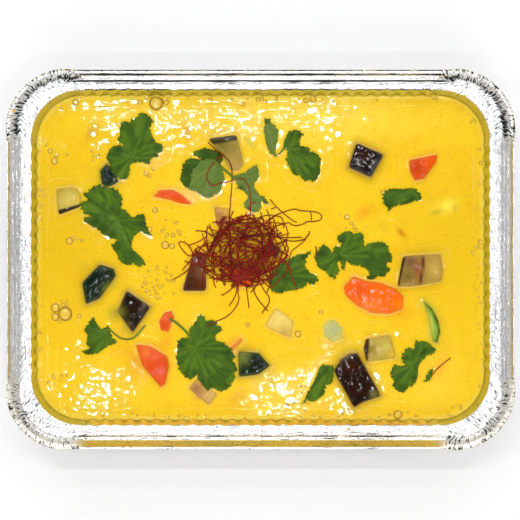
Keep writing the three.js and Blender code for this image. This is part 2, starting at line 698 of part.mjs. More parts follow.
/** Leaf blade: a thin wavy sheet over the ground, cut to its outline. */
function makeBlade(outline, wave, ground) {
  const [xs, ys] = [outline.map((p) => p[0]), outline.map((p) => p[1])];
  const bounds = {
    left: Math.min(...xs) - 1, right: Math.max(...xs) + 1, low: Math.min(...ys) - 1, high: Math.max(...ys) + 1,
  };
  const grid = new HeightGrid(bounds, LEAF_CELL, (x, y) => (
    ground.highest(x, y, LEAF_MARGIN) + GAP + LEAF_THICKNESS
      + LEAF_WAVE * (0.5 + 0.5 * Math.sin(0.45 * x + 0.35 * y + wave))
  ));
  const solid = grid.slab((height) => height - LEAF_THICKNESS).intersect(prism(outline, 0, 2 * RIM_HEIGHT));
  return { solid, top: (x, y) => (inside(outline, x, y) ? grid.at(x, y) : -Infinity) };
}

/** One sprig: its blades and, where it has one, its stalk. */
function makeSprig({ blades: outlines, stalk, wave }, ground) {
  const blades = outlines.map((outline) => makeBlade(outline, wave, ground));
  const bladeTop = (x, y) => Math.max(...blades.map((blade) => blade.top(x, y)));
  const bare = blades.slice(1).reduce((joined, blade) => joined.add(blade.solid), blades[0].solid);
  if (!stalk) return { solid: bare, top: bladeTop };
  const stalkMiddle = (x, y) => Math.max(
    ground.highest(x, y, THREAD_MARGIN) + GAP + STEM_RADIUS,
    bladeTop(x, y) - LEAF_THICKNESS / 2,
  );
  const solid = bare.add(makeStrand(stalk, STEM_RADIUS, stalkMiddle));
  const stalkTop = (x, y) => (
    distanceTo(stalk, x, y) < 2 * STEM_RADIUS ? stalkMiddle(x, y) + STEM_RADIUS : -Infinity
  );
  return { solid, top: (x, y) => Math.max(bladeTop(x, y), stalkTop(x, y)) };
}

/** Height of the nest's heart over a point of the plan. */
function heartTop(x, y) {
  const r2 = ((x - NEST.x) / NEST.halfX) ** 2 + ((y - NEST.y) / NEST.halfY) ** 2;
  return r2 < 1 ? SAUCE_LEVEL + NEST.rise * Math.sqrt(1 - r2) : -Infinity;
}

/** The nest's solid heart, a low mound set into the sauce, or the pocket grown round it. */
function makeHeart(grow = 0) {
  const levels = [
    [0.82, -NEST.sunk - grow],
    [1, 0],
    [0.85, 0.53],
    [0.55, 0.84],
  ];
  const loft = new Loft();
  loft.pole(NEST.x, NEST.y, SAUCE_LEVEL - NEST.sunk - grow);
  for (const [share, height] of levels) {
    const z = SAUCE_LEVEL + (height > 0 ? height * NEST.rise : height) + (height < 0 ? 0 : grow);
    loft.ring(Array.from({ length: NEST_SIDES }, (_, i) => {
      const angle = (i / NEST_SIDES) * 2 * Math.PI;
      return [
        NEST.x + (NEST.halfX * share + grow) * Math.cos(angle),
        NEST.y + (NEST.halfY * share + grow) * Math.sin(angle),
        z,
      ];
    }));
  }
  loft.pole(NEST.x, NEST.y, SAUCE_LEVEL + NEST.rise + grow);
  return loft.solid();
}

/** Paths of the loops that leave the nest's heart and come back, one layer over the next. */
function nestLoops() {
  const random = randomSource(NEST_SEED);
  return Array.from({ length: NEST_LOOPS }, (_, i) => {
    const angle = ((i + 0.6 * random()) / NEST_LOOPS) * 2 * Math.PI;
    const reach = 1.3 + 0.45 * random();
    const open = 0.35 + 0.3 * random();
    const spot = (turn, share) => [
      NEST.x + 2 + NEST.halfX * share * Math.cos(angle + turn),
      NEST.y - 1.5 + (NEST.halfY + 2) * share * Math.sin(angle + turn),
    ];
    const halfway = open / 2;
    return [
      spot(-2.2, 0.4), spot(-open, 0.85), spot(-halfway, reach),
      spot(halfway, reach), spot(open, 0.8), spot(2, 0.4),
    ];
  });
}

/** Paths of the threads that cross over the heart of the nest. */
function nestArches() {
  return Array.from({ length: NEST_ARCHES }, (_, i) => {
    const angle = ((i + 0.4) / NEST_ARCHES) * Math.PI;
    const spot = (turn, share) => [
      NEST.x + NEST.halfX * share * Math.cos(angle + turn),
      NEST.y + NEST.halfY * share * Math.sin(angle + turn),
    ];
    return [spot(0, 0.8), spot(0.5, 0.45), spot(Math.PI - 0.6, 0.3), spot(Math.PI, 0.8)];
  });
}

function makeNest(ground) {
  const clear = (x, y) => ground.highest(x, y, THREAD_MARGIN) + GAP + THREAD_RADIUS;
  const buried = (layer) => (x, y) => clear(x, y) + (heartTop(x, y) > 0 ? 0 : layer * THREAD_LAYER);
  const over = (layer) => (x, y) => heartTop(x, y) + layer * THREAD_LAYER - ARCH_DIP * archEnd(x, y);
  const strands = [
    ...STRAYS.map((path) => makeStrand(path, THREAD_RADIUS, buried(0))),
    ...nestLoops().map((path, i) => makeStrand(path, THREAD_RADIUS, buried(1 + (i % 2)))),
    ...nestArches().map((path, i) => makeStrand(path, THREAD_RADIUS, over(1 + i))),
  ];
  return strands.reduce((nest, strand) => nest.add(strand), makeHeart());
}

/** 1 near the edge of the heart, where an arch goes into it, and 0 over its middle. */
function archEnd(x, y) {
  const r = Math.hypot((x - NEST.x) / NEST.halfX, (y - NEST.y) / NEST.halfY);
  return THREE.MathUtils.smoothstep(r, 0.55, 0.8);
}

// ---- Assembly -----------------------------------------------------------------

function addPart(group, name, solid, look) {
  const { vertProperties, triVerts } = solid.getMesh();
  const geometry = new THREE.BufferGeometry();
  geometry.setAttribute('position', new THREE.BufferAttribute(vertProperties, 3));
  geometry.setIndex(new THREE.BufferAttribute(triVerts, 1));
  geometry.computeVertexNormals();
  const mesh = new THREE.Mesh(geometry, new THREE.MeshStandardMaterial(look));
  mesh.name = name;
  group.add(mesh);
}

function makeObject() {
  const group = new THREE.Group();
  const grid = makeSauceGrid();
  addPart(group, 'foil_tray', makeTray(), COLOURS.foil);

  const chunks = [...AUBERGINE, ...ZUCCHINI, ZUCCHINI_DISC, ...CARROT];
  addPart(group, 'curry', makeSauce(grid, [...chunks.map(makePocket), makeHeart(GAP)]), COLOURS.sauce);
  const kinds = [
    [AUBERGINE, COLOURS.aubergine],
    [ZUCCHINI, COLOURS.zucchini],
    [[ZUCCHINI_DISC], COLOURS.zucchiniFlesh],
    [CARROT, COLOURS.carrot],
  ];
  for (const [pieces, look] of kinds) {
    for (const piece of pieces) {
      addPart(group, piece.name, makeChunk(piece), piece.dark ? COLOURS.aubergineSkin : look);
    }
  }

  const chunkTops = chunks.map((piece) => (x, y) => chunkTop(piece, x, y));
  const bed = new Ground([(x, y) => grid.at(x, y), ...chunkTops]);
  const sprigs = SPRIGS.map((sprig) => makeSprig(sprig, bed));
  sprigs.forEach(({ solid }, i) => addPart(group, SPRIGS[i].name, solid, COLOURS.leaf));

  const cover = new Ground([...bed.layers, ...sprigs.map(({ top }) => top)]);
  addPart(group, 'chilli_nest', makeNest(cover), COLOURS.chilli);
  for (const { name, path } of LOOSE_THREADS) {
    const heightAt = (x, y) => cover.highest(x, y, THREAD_MARGIN) + GAP + THREAD_RADIUS;
    addPart(group, name, makeStrand(path, THREAD_RADIUS, heightAt), COLOURS.chilli);
  }
  return group;
}

export default makeObject();
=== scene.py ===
"""Looks of a foil tray of yellow vegetable curry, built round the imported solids.

Shapes are worked out in millimetres, in the frame of the solids, and become metres
when their mesh is made. The script reads nothing but the frame.
"""

import logging
import math
from dataclasses import dataclass, replace
from enum import Enum
from typing import Any, Iterable, Mapping, Sequence

import bpy
import numpy as np
from bpy.types import Material, Mesh, NodeSocket, Object
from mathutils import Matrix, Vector
from mathutils.bvhtree import BVHTree
from mathutils.geometry import delaunay_2d_cdt

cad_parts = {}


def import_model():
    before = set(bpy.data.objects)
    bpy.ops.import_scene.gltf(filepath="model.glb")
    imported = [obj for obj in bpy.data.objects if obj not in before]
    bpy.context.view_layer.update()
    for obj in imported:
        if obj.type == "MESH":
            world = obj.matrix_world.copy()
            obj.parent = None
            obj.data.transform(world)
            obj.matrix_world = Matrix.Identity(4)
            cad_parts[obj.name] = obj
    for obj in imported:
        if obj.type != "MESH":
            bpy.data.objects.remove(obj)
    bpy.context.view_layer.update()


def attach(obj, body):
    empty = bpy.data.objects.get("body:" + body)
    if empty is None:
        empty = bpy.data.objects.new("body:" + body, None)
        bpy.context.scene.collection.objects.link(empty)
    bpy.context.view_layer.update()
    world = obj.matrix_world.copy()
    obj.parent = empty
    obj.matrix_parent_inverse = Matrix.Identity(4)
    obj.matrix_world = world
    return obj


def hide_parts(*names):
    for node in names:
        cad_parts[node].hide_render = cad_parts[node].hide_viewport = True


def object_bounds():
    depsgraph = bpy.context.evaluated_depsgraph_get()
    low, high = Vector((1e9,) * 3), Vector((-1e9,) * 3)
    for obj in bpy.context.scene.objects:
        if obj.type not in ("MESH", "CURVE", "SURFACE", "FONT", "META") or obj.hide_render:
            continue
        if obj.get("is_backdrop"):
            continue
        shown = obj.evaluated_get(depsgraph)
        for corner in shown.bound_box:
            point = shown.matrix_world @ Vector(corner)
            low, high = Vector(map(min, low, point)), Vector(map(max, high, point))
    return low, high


MM = 0.001
LEVEL = 33.5  # height of the open sauce
SEEN = 35.0  # height at which a place in the picture is read, unless another is given
BODY = "root"
log = logging.getLogger("curry_tray")

Array = np.ndarray
Plan = Sequence[tuple[float, float]]
Colour = tuple[float, float, float]
Spot = tuple[float, float, float]  # column, row and reach in the camera's picture


# ---- Numbers and outlines -------------------------------------------------------


def srgb(red: float, green: float, blue: float) -> Colour:
    """Linear colour from screen values of 0 to 255.

    Args:
        red: Screen value of red.
        green: Screen value of green.
        blue: Screen value of blue.

    Returns:
        The three linear parts, 0 to 1.
    """
    parts = np.array([red, green, blue]) / 255
    linear = np.where(parts <= 0.04045, parts / 12.92, ((parts + 0.055) / 1.055) ** 2.4)
    return tuple(float(part) for part in linear)


def ease(low: float, high: float, value: Array) -> Array:
    """Smooth step of values, from 0 at low to 1 at high; low may be the larger one."""
    share = np.clip((value - low) / (high - low), 0, 1)
    return share * share * (3 - 2 * share)


def patchy(x: Array, y: Array, cell: float, seed: int) -> Array:
    """Smooth random field over the plan.

    Args:
        x: Places along the tray.
        y: Places across the tray.
        cell: Size of one patch, in the unit of x and y.
        seed: Which field.

    Returns:
        Values from about -1 to 1.
    """
    size, start = 256, (97.3, 61.7)
    table = np.random.default_rng(seed).uniform(-1, 1, (size, size))
    u, v = x / cell + start[0], y / cell + start[1]
    i, j = np.floor(u).astype(int), np.floor(v).astype(int)
    fu, fv = u - i, v - j
    fu, fv = fu**3 * (fu * (fu * 6 - 15) + 10), fv**3 * (fv * (fv * 6 - 15) + 10)
    i0, i1, j0, j1 = i % size, (i + 1) % size, j % size, (j + 1) % size
    low = table[i0, j0] * (1 - fu) + table[i1, j0] * fu
    high = table[i0, j1] * (1 - fu) + table[i1, j1] * fu
    return low * (1 - fv) + high * fv


def distance_to(points: Array, outline: Array) -> Array:
    """Signed distance in plan from points to a closed outline.

    Args:
        points: Points, one to a row.
        outline: Corners of the outline, one to a row.

    Returns:
        Distances, negative inside.
    """
    best = np.full(len(points), np.inf)
    odd = np.zeros(len(points), bool)
    x, y = points[:, 0], points[:, 1]
    for a, b in zip(outline, np.roll(outline, -1, axis=0)):
        edge = b - a
        along = np.clip(((x - a[0]) * edge[0] + (y - a[1]) * edge[1]) / (edge @ edge), 0, 1)
        best = np.minimum(best, np.hypot(x - a[0] - along * edge[0], y - a[1] - along * edge[1]))
        if a[1] != b[1]:
            crossing = a[0] + (y - a[1]) * edge[0] / edge[1]
            odd ^= ((a[1] > y) != (b[1] > y)) & (x < crossing)
    return np.where(odd, -best, best)


def close_to(points: Array, outline: Array, margin: float) -> tuple[Array, Array]:
    """Points in the box round an outline, and how far they are from it.

    Args:
        points: Points, of which the plan counts.
        outline: Corners of the outline, one to a row.
        margin: How far the box reaches past the outline.

    Returns:
        Which points lie in the box, and the signed distances of those.
    """
    plan = points[:, :2]
    near = np.all((plan >= outline.min(0) - margin) & (plan <= outline.max(0) + margin), axis=1)
    return near, distance_to(plan[near], outline)


def blend(first: Array, second: Any, share: Array) -> Array:
    """Colours between first and second, one to a row, by a share of 0 to 1 for each."""
    return first * (1 - share[:, None]) + np.array(second) * share[:, None]


def path_distance(points: Array, path: Array) -> Array:
    """Distance in plan from points to an open path of straight stretches.

    Args:
        points: Points, one to a row.
        path: Corners of the path, one to a row.

    Returns:
        Distances.
    """
    best = np.full(len(points), np.inf)
    for a, b in zip(path[:-1], path[1:]):
        edge = b - a
        along = np.clip((points - a) @ edge / (edge @ edge), 0, 1)
        best = np.minimum(best, np.hypot(*(points - a - along[:, None] * edge).T))
    return best


def rounded(outline: Array, rounds: int, share: float) -> Array:
    """Closed outline with its corners cut off again and again.

    Args:
        outline: Corners, one to a row.
        rounds: How often the corners are cut.
        share: Part of each edge that a cut takes.

    Returns:
        The smoother outline.
    """
    for _ in range(rounds):
        after = np.roll(outline, -1, axis=0)
        cut = np.stack([outline + share * (after - outline), after + share * (outline - after)], axis=1)
        outline = cut.reshape(-1, 2)
    return outline


def resampled(outline: Array, step: float) -> Array:
    """Closed outline with evenly spaced points.

    Args:
        outline: Corners, one to a row.
        step: Wanted distance between points.

    Returns:
        The points.
    """
    ring = np.vstack([outline, outline[:1]])
    run = np.concatenate([[0], np.cumsum(np.hypot(*np.diff(ring, axis=0).T))])
    count = max(8, round(run[-1] / step))
    places = np.arange(count) / count * run[-1]
    return np.column_stack([np.interp(places, run, ring[:, 0]), np.interp(places, run, ring[:, 1])])


def counterclockwise(outline: Array) -> Array:
    """The same outline, run through against the clock."""
    x, y = outline.T
    area = np.sum(x * np.roll(y, -1) - np.roll(x, -1) * y)
    return outline if area > 0 else outline[::-1]


def spline(path: Plan, step: float) -> Array:
    """Smooth open curve through points.

    Args:
        path: Points in plan.
        step: Distance between the points that come out.

    Returns:
        Points on the curve, one to a row.
    """
    knots = np.asarray(path, float)
    knots = np.vstack([2 * knots[0] - knots[1], knots, 2 * knots[-1] - knots[-2]])
    pieces = []
    for a, b, c, d in zip(knots[:-3], knots[1:-2], knots[2:-1], knots[3:]):
        t = np.linspace(0, 1, max(2, round(np.linalg.norm(c - b) / step)), endpoint=False)[:, None]
        pieces.append(0.5 * (2 * b + (c - a) * t + (2 * a - 5 * b + 4 * c - d) * t**2
                             + (3 * b - 3 * c + d - a) * t**3))
    return np.vstack([*pieces, knots[-2:-1]])


def filled(outline: Array, spacing: float) -> tuple[Array, list[tuple[int, ...]]]:
    """Triangles over the inside of an outline, with even points between its edges.

    Args:
        outline: Closed outline, one point to a row.
        spacing: Distance between the inner points.

    Returns:
        The points, the outline's first, and the triangles as their numbers.
    """
    row_step, margin = spacing * 0.866, 0.55 * spacing
    low, high = outline.min(0), outline.max(0)
    inner = np.array([
        (x + (k % 2) * spacing / 2, y)
        for k, y in enumerate(np.arange(low[1], high[1], row_step))
        for x in np.arange(low[0], high[0], spacing)
    ])
    inner = inner[distance_to(inner, outline) < -margin]
    points = np.vstack([outline, inner])
    count = len(outline)
    ring = [(i, (i + 1) % count) for i in range(count)]
    given = [Vector((float(x), float(y))) for x, y in points]
    out, _, faces, _, _, _ = delaunay_2d_cdt(given, ring, [], 1, 1e-6)
    if len(out) != len(given):
        points = np.array([tuple(v) for v in out])
    return points, [tuple(face) for face in faces]


# ---- Meshes ---------------------------------------------------------------------


def linked(name: str, data: bpy.types.ID) -> Object:
    """New object of a mesh, a light or a camera, in the scene."""
    made = bpy.data.objects.new(name, data)
    bpy.context.scene.collection.objects.link(made)
    return made


def make_object(
    name: str, points: Array, faces: Iterable[Sequence[int]],
    values: Mapping[str, Array] | None = None,
) -> Object:
    """Smooth-shaded mesh object at the origin.

    Args:
        name: Name of the piece.
        points: Its points in millimetres, one to a row.
        faces: Its faces as numbers of points.
        values: Values at the points: one number each, or a colour each.

    Returns:
        The new object, linked to the scene.
    """
    mesh = bpy.data.meshes.new(name)
    mesh.from_pydata((np.asarray(points) * MM).tolist(), [], [tuple(map(int, f)) for f in faces])
    mesh.polygons.foreach_set("use_smooth", [True] * len(mesh.polygons))
    for key, value in (values or {}).items():
        value = np.asarray(value, float)
        if value.ndim == 1:
            layer = mesh.attributes.new(key, "FLOAT", "POINT")
            layer.data.foreach_set("value", value)
        else:
            layer = mesh.attributes.new(key, "FLOAT_COLOR", "POINT")
            colour = np.column_stack([value, np.ones(len(value))])
            layer.data.foreach_set("color", colour.ravel())
    mesh.validate()
    mesh.update()
    return linked(name, mesh)


def grid_faces(rows: int, columns: int, closed: bool = False) -> Array:
    """Four-sided faces between rows of points.

    Args:
        rows: Number of rows.
        columns: Points in a row.
        closed: Whether each row is a ring.

    Returns:
        The faces, one to a row.
    """
    across = columns if closed else columns - 1
    i, j = np.meshgrid(np.arange(rows - 1), np.arange(across), indexing="ij")
    after = (j + 1) % columns
    quads = [i * columns + j, i * columns + after, (i + 1) * columns + after, (i + 1) * columns + j]
    return np.stack(quads, axis=-1).reshape(-1, 4)


def finished(made: Object, material: Material, slot: str, *nodes: str) -> Object:
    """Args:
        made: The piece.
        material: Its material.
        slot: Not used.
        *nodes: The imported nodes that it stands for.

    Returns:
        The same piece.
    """
    made.data.materials.clear()
    made.data.materials.append(material)
    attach(made, BODY)
    if nodes:
        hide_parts(*nodes)
    log.info("%s: %d faces", made.name, len(made.data.polygons))
    return made


# ---- Nodes and shaders ----------------------------------------------------------


class Wire:
    """An output socket; arithmetic on it adds Math nodes."""

    def __init__(self, shader: "Shader", socket: NodeSocket) -> None:
        """Wraps a socket of a shader."""
        self.shader = shader
        self.socket = socket

    def _math(self, operation: str, first: Any, second: Any) -> "Wire":
        """Result of a Math node on two values."""
        return self.shader.node("ShaderNodeMath", {"operation": operation}, {0: first, 1: second})

    def __add__(self, other: Any) -> "Wire":
        """Sum."""
        return self._math("ADD", self, other)

    def __radd__(self, other: Any) -> "Wire":
        """Sum, from the right."""
        return self._math("ADD", other, self)

    def __sub__(self, other: Any) -> "Wire":
        """Difference."""
        return self._math("SUBTRACT", self, other)

    def __rsub__(self, other: Any) -> "Wire":
        """Difference, from the right."""
        return self._math("SUBTRACT", other, self)

    def __mul__(self, other: Any) -> "Wire":
        """Product."""
        return self._math("MULTIPLY", self, other)

    def __rmul__(self, other: Any) -> "Wire":
        """Product, from the right."""
        return self._math("MULTIPLY", other, self)

    def step(self, low: float, high: float) -> "Wire":
        """Smooth step of this value, from 0 at low to 1 at high."""
        settings = {"interpolation_type": "SMOOTHSTEP"}
        return self.shader.node("ShaderNodeMapRange", settings, {"Value": self, 1: low, 2: high})


class Nodes:
    """Node tree that is filled by the script."""

    def __init__(self, tree: bpy.types.NodeTree) -> None:
        """Takes the tree."""
        self.tree = tree

    def add(
        self, kind: str, settings: Mapping[str, Any] | None = None, inputs: Mapping[Any, Any] | None = None
    ) -> bpy.types.Node:
        """Adds a node.

        Args:
            kind: Its type.
            settings: Its settings, set first; stops are those of a ramp, as places and brightness.
            inputs: Values, wires or output sockets for its sockets.

        Returns:
            The node.
        """
        made = self.tree.nodes.new(kind)
        for key, value in (settings or {}).items():
            if key == "stops":
                self.grade(made.color_ramp, value)
            else:
                setattr(made, key, value)
        for key, value in (inputs or {}).items():
            self.fill(made.inputs[key], value)
        return made

    def grade(self, ramp: bpy.types.ColorRamp, stops: Sequence[tuple[float, float]]) -> None:
        """Gives a ramp its grey stops.

        Args:
            ramp: The ramp.
            stops: Place and brightness of each.
        """
        while len(ramp.elements) < len(stops):
            ramp.elements.new(1.0)
        for element, (place, level) in zip(ramp.elements, stops):
            element.position = place
            element.color = (level, level, level, 1)

    def fill(self, socket: NodeSocket, value: Any) -> None:
        """Links a socket to an output or gives it a value.

        Args:
            socket: The socket.
            value: A wire, an output socket or a plain value.
        """
        source = value.socket if isinstance(value, Wire) else value
        if isinstance(source, NodeSocket):
            self.tree.links.new(source, socket)
        elif isinstance(value, tuple) and socket.type == "RGBA":
            socket.default_value = (*value, 1)
        else:
            socket.default_value = value


class Shader(Nodes):
    """Node tree of one material, which ends in a Principled shader."""

    def __init__(self, name: str, **constants: float) -> None:
        """Starts a material.

        Args:
            name: Name of the material.
            **constants: Values of the Principled shader's own sockets, with _ for a space.
        """
        self.material = bpy.data.materials.new(name)
        self.material.use_nodes = True
        super().__init__(self.material.node_tree)
        self.principled = self.tree.nodes["Principled BSDF"]
        for key, value in constants.items():
            self.principled.inputs[key.replace("_", " ")].default_value = value

    def node(
        self, kind: str, settings: Mapping[str, Any] | None = None,
        inputs: Mapping[str | int, Any] | None = None, output: str | int = 0,
    ) -> Wire:
        """Adds a node of a type, with its settings and inputs, and gives back one of its outputs."""
        return Wire(self, self.add(kind, settings, inputs).outputs[output])

    def place(self) -> Wire:
        """Object coordinates."""
        return self.node("ShaderNodeTexCoord", output="Object")

    def value(self, name: str) -> Wire:
        """Number that the mesh holds under a name."""
        return self.node("ShaderNodeAttribute", {"attribute_name": name}, output="Fac")

    def paint(self, name: str) -> Wire:
        """Colour that the mesh holds under a name."""
        return self.node("ShaderNodeAttribute", {"attribute_name": name}, output="Color")

    def grain(self, size: float, detail: float = 3, roughness: float = 0.5) -> Wire:
        """Soft random pattern about 0.5, with blotches of a size in millimetres."""
        inputs = {"Vector": self.place(), "Scale": 1 / (size * MM), "Detail": detail, "Roughness": roughness}
        return self.node("ShaderNodeTexNoise", inputs=inputs)

    def strokes(self, run: Wire, up: Wire, length: float, width: float) -> Wire:
        """Random pattern about 0.5, drawn out along a surface; all in millimetres."""
        place = self.node("ShaderNodeCombineXYZ", inputs={0: run * (1 / length), 1: up * (1 / width)})
        return self.node("ShaderNodeTexNoise", inputs={"Vector": place, "Scale": 1.0, "Detail": 2.0})

    def cells(self, size: float, distance: str = "EUCLIDEAN") -> Wire:
        """Distance to the middle in a pattern of cells of a size in millimetres, 0 to about 1."""
        inputs = {"Vector": self.place(), "Scale": 1 / (size * MM)}
        return self.node("ShaderNodeTexVoronoi", {"distance": distance}, inputs, "Distance")

    def mix(self, share: Any, low: Any, high: Any, blend: str = "MIX") -> Wire:
        """Two colours mixed; the share is that of the second one."""
        settings = {"data_type": "RGBA", "blend_type": blend}
        return self.node("ShaderNodeMix", settings, {0: share, 6: low, 7: high}, 2)

    def bump(self, height: Wire, depth: float, strength: float = 1.0) -> Wire:
        """Normal of a relief of 0 to 1, whose depth is in millimetres."""
        inputs = {"Height": height, "Distance": depth * MM, "Strength": strength}
        return self.node("ShaderNodeBump", inputs=inputs)

    def feed(self, **sockets: Any) -> Material:
        """Links the Principled shader's sockets and gives back the material.

        Args:
            **sockets: Wires for its sockets, with _ for a space.

        Returns:
            The material.
        """
        for key, value in sockets.items():
            self.fill(self.principled.inputs[key.replace("_", " ")], value)
        return self.material


@dataclass(frozen=True)
class FoilFinish:
    """Bright crinkled aluminium foil, with painted shade in its creases, painted grey reflections over its
    crinkles, painted reflections of the curry on the wall and the near flange, and a few splashes of sauce.
    """

    colour: Colour = (0.93, 0.935, 0.94)
    # Colour of the painted darker reflections over the crinkles.
    grey: Colour = (0.22, 0.24, 0.25)
    # Colour of the painted shade in the creases.
    dark: Colour = (0.005, 0.006, 0.007)
    warm: Colour = srgb(236, 204, 92)  # painted reflection of the curry, on the near flange
    wall: Colour = srgb(216, 220, 160)  # and painted reflection of it, on the wall
    splash: Colour = srgb(236, 190, 40)
    roughness: float = 0.24
    facet: float = 1.3  # size of the small facets, millimetres

    def material(self) -> Material:
        """The foil's material."""
        shader = Shader("foil")
        run, up = shader.value("run"), shader.value("up")
        corner, soot = shader.value("corner"), shader.value("soot")
        straight = 1.0 - corner
        folds = shader.strokes(run, up, 0.75, 2.0)
        chips = shader.strokes(run, up, 0.9, 0.55)
        lines = shader.strokes(run, up, 7.0, 0.45)
        streaks = shader.strokes(run, up, 14.0, 0.32)
        # Painted shade: dark lines and flecks where the creases are.
        marks = folds * corner + (lines * 0.6 + chips * 0.4) * straight
        painted_black = (marks + soot * 0.5).step(0.66, 0.75)
        # Painted darker reflections: grey flecks and streaks over the crinkles.
        grey = (chips * 0.5 + folds * 0.5 + soot * 0.25).step(0.5, 0.68) * shader.value("speckle")
        grey = grey + streaks.step(0.42, 0.7) * shader.value("streak")
        tone = shader.mix(grey.step(0.0, 1.0), self.colour, self.grey)
        # Painted reflections of the curry, on the near flange and then on the wall.
        tone = shader.mix(shader.value("warm"), tone, self.warm, "MULTIPLY")
        tone = shader.mix(shader.value("wall"), tone, self.wall, "MULTIPLY")
        tone = shader.mix(painted_black, tone, self.dark)
        splash = shader.value("splash").step(0.35, 0.5)
        tone = shader.mix(splash, tone, self.splash)
        facets = shader.cells(self.facet, distance="MANHATTAN")
        fine = shader.cells(self.facet * 0.45, distance="MANHATTAN")
        relief = facets * 0.12 + fine * 0.04 + streaks * 0.04 * shader.value("streak") + painted_black * -0.05
        dull = painted_black * 0.5 + grey.step(0.0, 1.0) * 0.3 + corner * 0.12
        rough = shader.grain(2.5, 2) * 0.12 + dull + (self.roughness - 0.06)
        metal = (1.0 - splash) * (1.0 - painted_black)
        return shader.feed(
            Base_Color=tone, Roughness=rough, Normal=shader.bump(relief, 1.0), Metallic=metal
        )


@dataclass(frozen=True)
class SauceFinish:
    """Glossy coconut curry sauce with fine spice in it, and fine steps where its skin ends."""

    roughness: float = 0.04
    spice: Colour = srgb(138, 96, 22)
    chilli: Colour = srgb(228, 112, 16)
    deep: Colour = srgb(228, 172, 14)
    step: float = 0.1  # height of the steps, millimetres

    def material(self) -> Material:
        """The sauce's material."""
        shader = Shader("sauce", IOR=1.4, Specular_IOR_Level=0.5)
        cloud = shader.grain(9, 5, 0.65).step(0.35, 0.8)
        tone = shader.mix(cloud * 0.4, shader.paint("tint"), self.deep)
        dust = shader.cells(1.3).step(0.2, 0.1) * shader.grain(2.6, 1).step(0.42, 0.62)
        tone = shader.mix(dust * 0.75, tone, self.spice)
        flakes = shader.cells(4.1).step(0.1, 0.05)
        tone = shader.mix(flakes * 0.7, tone, self.chilli)
        wavy, ragged = shader.grain(7, 2) - 0.5, shader.grain(1.6, 2) - 0.5
        near = shader.value("near") + wavy * 3.0 + ragged * 0.8
        brim = shader.value("brim") + wavy * 2.0 + ragged * 0.6
        edges = (near.step(4.3, 3.8), brim.step(4.9, 4.4), brim.step(2.0, 1.6))
        relief: Any = shader.grain(3.0, 0) * 0.09 + shader.grain(1.5, 0) * shader.value("lively") * 0.12
        rims: Any = 0.0
        for edge, height in zip(edges, (0.8, 0.8, 1.0)):
            relief = relief + edge * (height * self.step)
            rims = rims + edge * (1.0 - edge) * (1.6 * height)
        relief = relief + shader.grain(1.4, 0) * rims * 0.2
        rough = shader.grain(3) * 0.02 + self.roughness
        return shader.feed(Base_Color=tone, Roughness=rough, Normal=shader.bump(relief, 1.0))


@dataclass(frozen=True)
class CutFinish:
    """Wet cut vegetable, painted by its mesh."""

    name: str
    roughness: float = 0.12
    fibre: float = 0.9  # size of its fine pattern, millimetres
    depth: float = 0.12
    variety: float = 0.3
    shine: float = 0.3

    def material(self) -> Material:
        """The vegetable's material."""
        shader = Shader(self.name, IOR=1.4, Specular_IOR_Level=self.shine)
        fibres = shader.grain(self.fibre, 4, 0.6)
        tone = shader.mix(
            fibres.step(0.3, 0.75) * self.variety, shader.paint("paint"), (0.02, 0.01, 0.0), "SOFT_LIGHT"
        )
        blotch = shader.grain(self.fibre * 4, 3).step(0.5, 0.7)
        tone = shader.mix(blotch * (0.4 * self.variety), tone, (1.0, 0.92, 0.7), "SOFT_LIGHT")
        drops = shader.value("glint") * shader.grain(1.4, 0) * 0.3 + shader.grain(2.4, 0) * self.depth
        rough = shader.grain(1.3, 2) * 0.06 + (self.roughness - 0.03)
        return shader.feed(Base_Color=tone, Roughness=rough, Normal=shader.bump(drops, 1.0))


@dataclass(frozen=True)
class LeafFinish:
    """Coriander leaf: satin green above, paler and greyer below, wet here and there."""

    upper: Colour = srgb(66, 98, 6)
    light: Colour = srgb(90, 122, 12)
    vein: Colour = srgb(104, 136, 40)
    under: Colour = srgb(100, 122, 50)
    under_vein: Colour = srgb(138, 156, 84)
    dark: Colour = srgb(36, 66, 2)

    def material(self) -> Material:
        """The leaves' material."""
        shader = Shader("coriander_leaf", IOR=1.4, Specular_IOR_Level=0.2)
        pale, vein, rays = shader.value("pale"), shader.value("vein"), shader.value("rays")
        upper = shader.mix(rays.step(0.2, 0.8), self.dark, self.light)
        upper = shader.mix(0.5, upper, self.upper)
        upper = shader.mix(vein * 0.3, upper, self.vein)
        under = shader.mix(rays * 0.35, self.under, self.upper)
        under = shader.mix(vein * 0.5, under, self.under_vein)
        tone = shader.mix(pale, upper, under)
        tone = shader.mix(shader.grain(1.1, 3).step(0.4, 0.8) * 0.25, tone, self.dark)
        tone = shader.mix(shader.value("shade") * 0.8, tone, self.dark)
        wet = shader.value("wet")
        relief = shader.bump(shader.grain(1.2, 0) * (wet * 2.5 + 0.3) + vein * -0.6 + rays * 0.4, 0.12, 0.6)
        rough = shader.grain(2, 2) * 0.2 + 0.4 - wet * 0.38
        return shader.feed(Base_Color=tone, Roughness=rough, Normal=relief)


@dataclass(frozen=True)
class ThreadFinish:
    """Dried chilli threads, dark crimson with redder ones among them."""

    dark: Colour = srgb(92, 6, 3)
    bright: Colour = srgb(156, 30, 6)

    def material(self) -> Material:
        """The threads' material."""
        shader = Shader("chilli_thread", IOR=1.4, Specular_IOR_Level=0.25)
        tone = shader.mix(shader.value("shade"), self.dark, self.bright)
        tone = shader.mix(shader.grain(1.5, 3).step(0.5, 0.75) * 0.6, tone, (0.03, 0.004, 0.004))
        relief = shader.bump(shader.grain(0.35, 2), 0.05, 0.6)
        return shader.feed(Base_Color=tone, Roughness=shader.grain(1.0) * 0.2 + 0.32, Normal=relief)


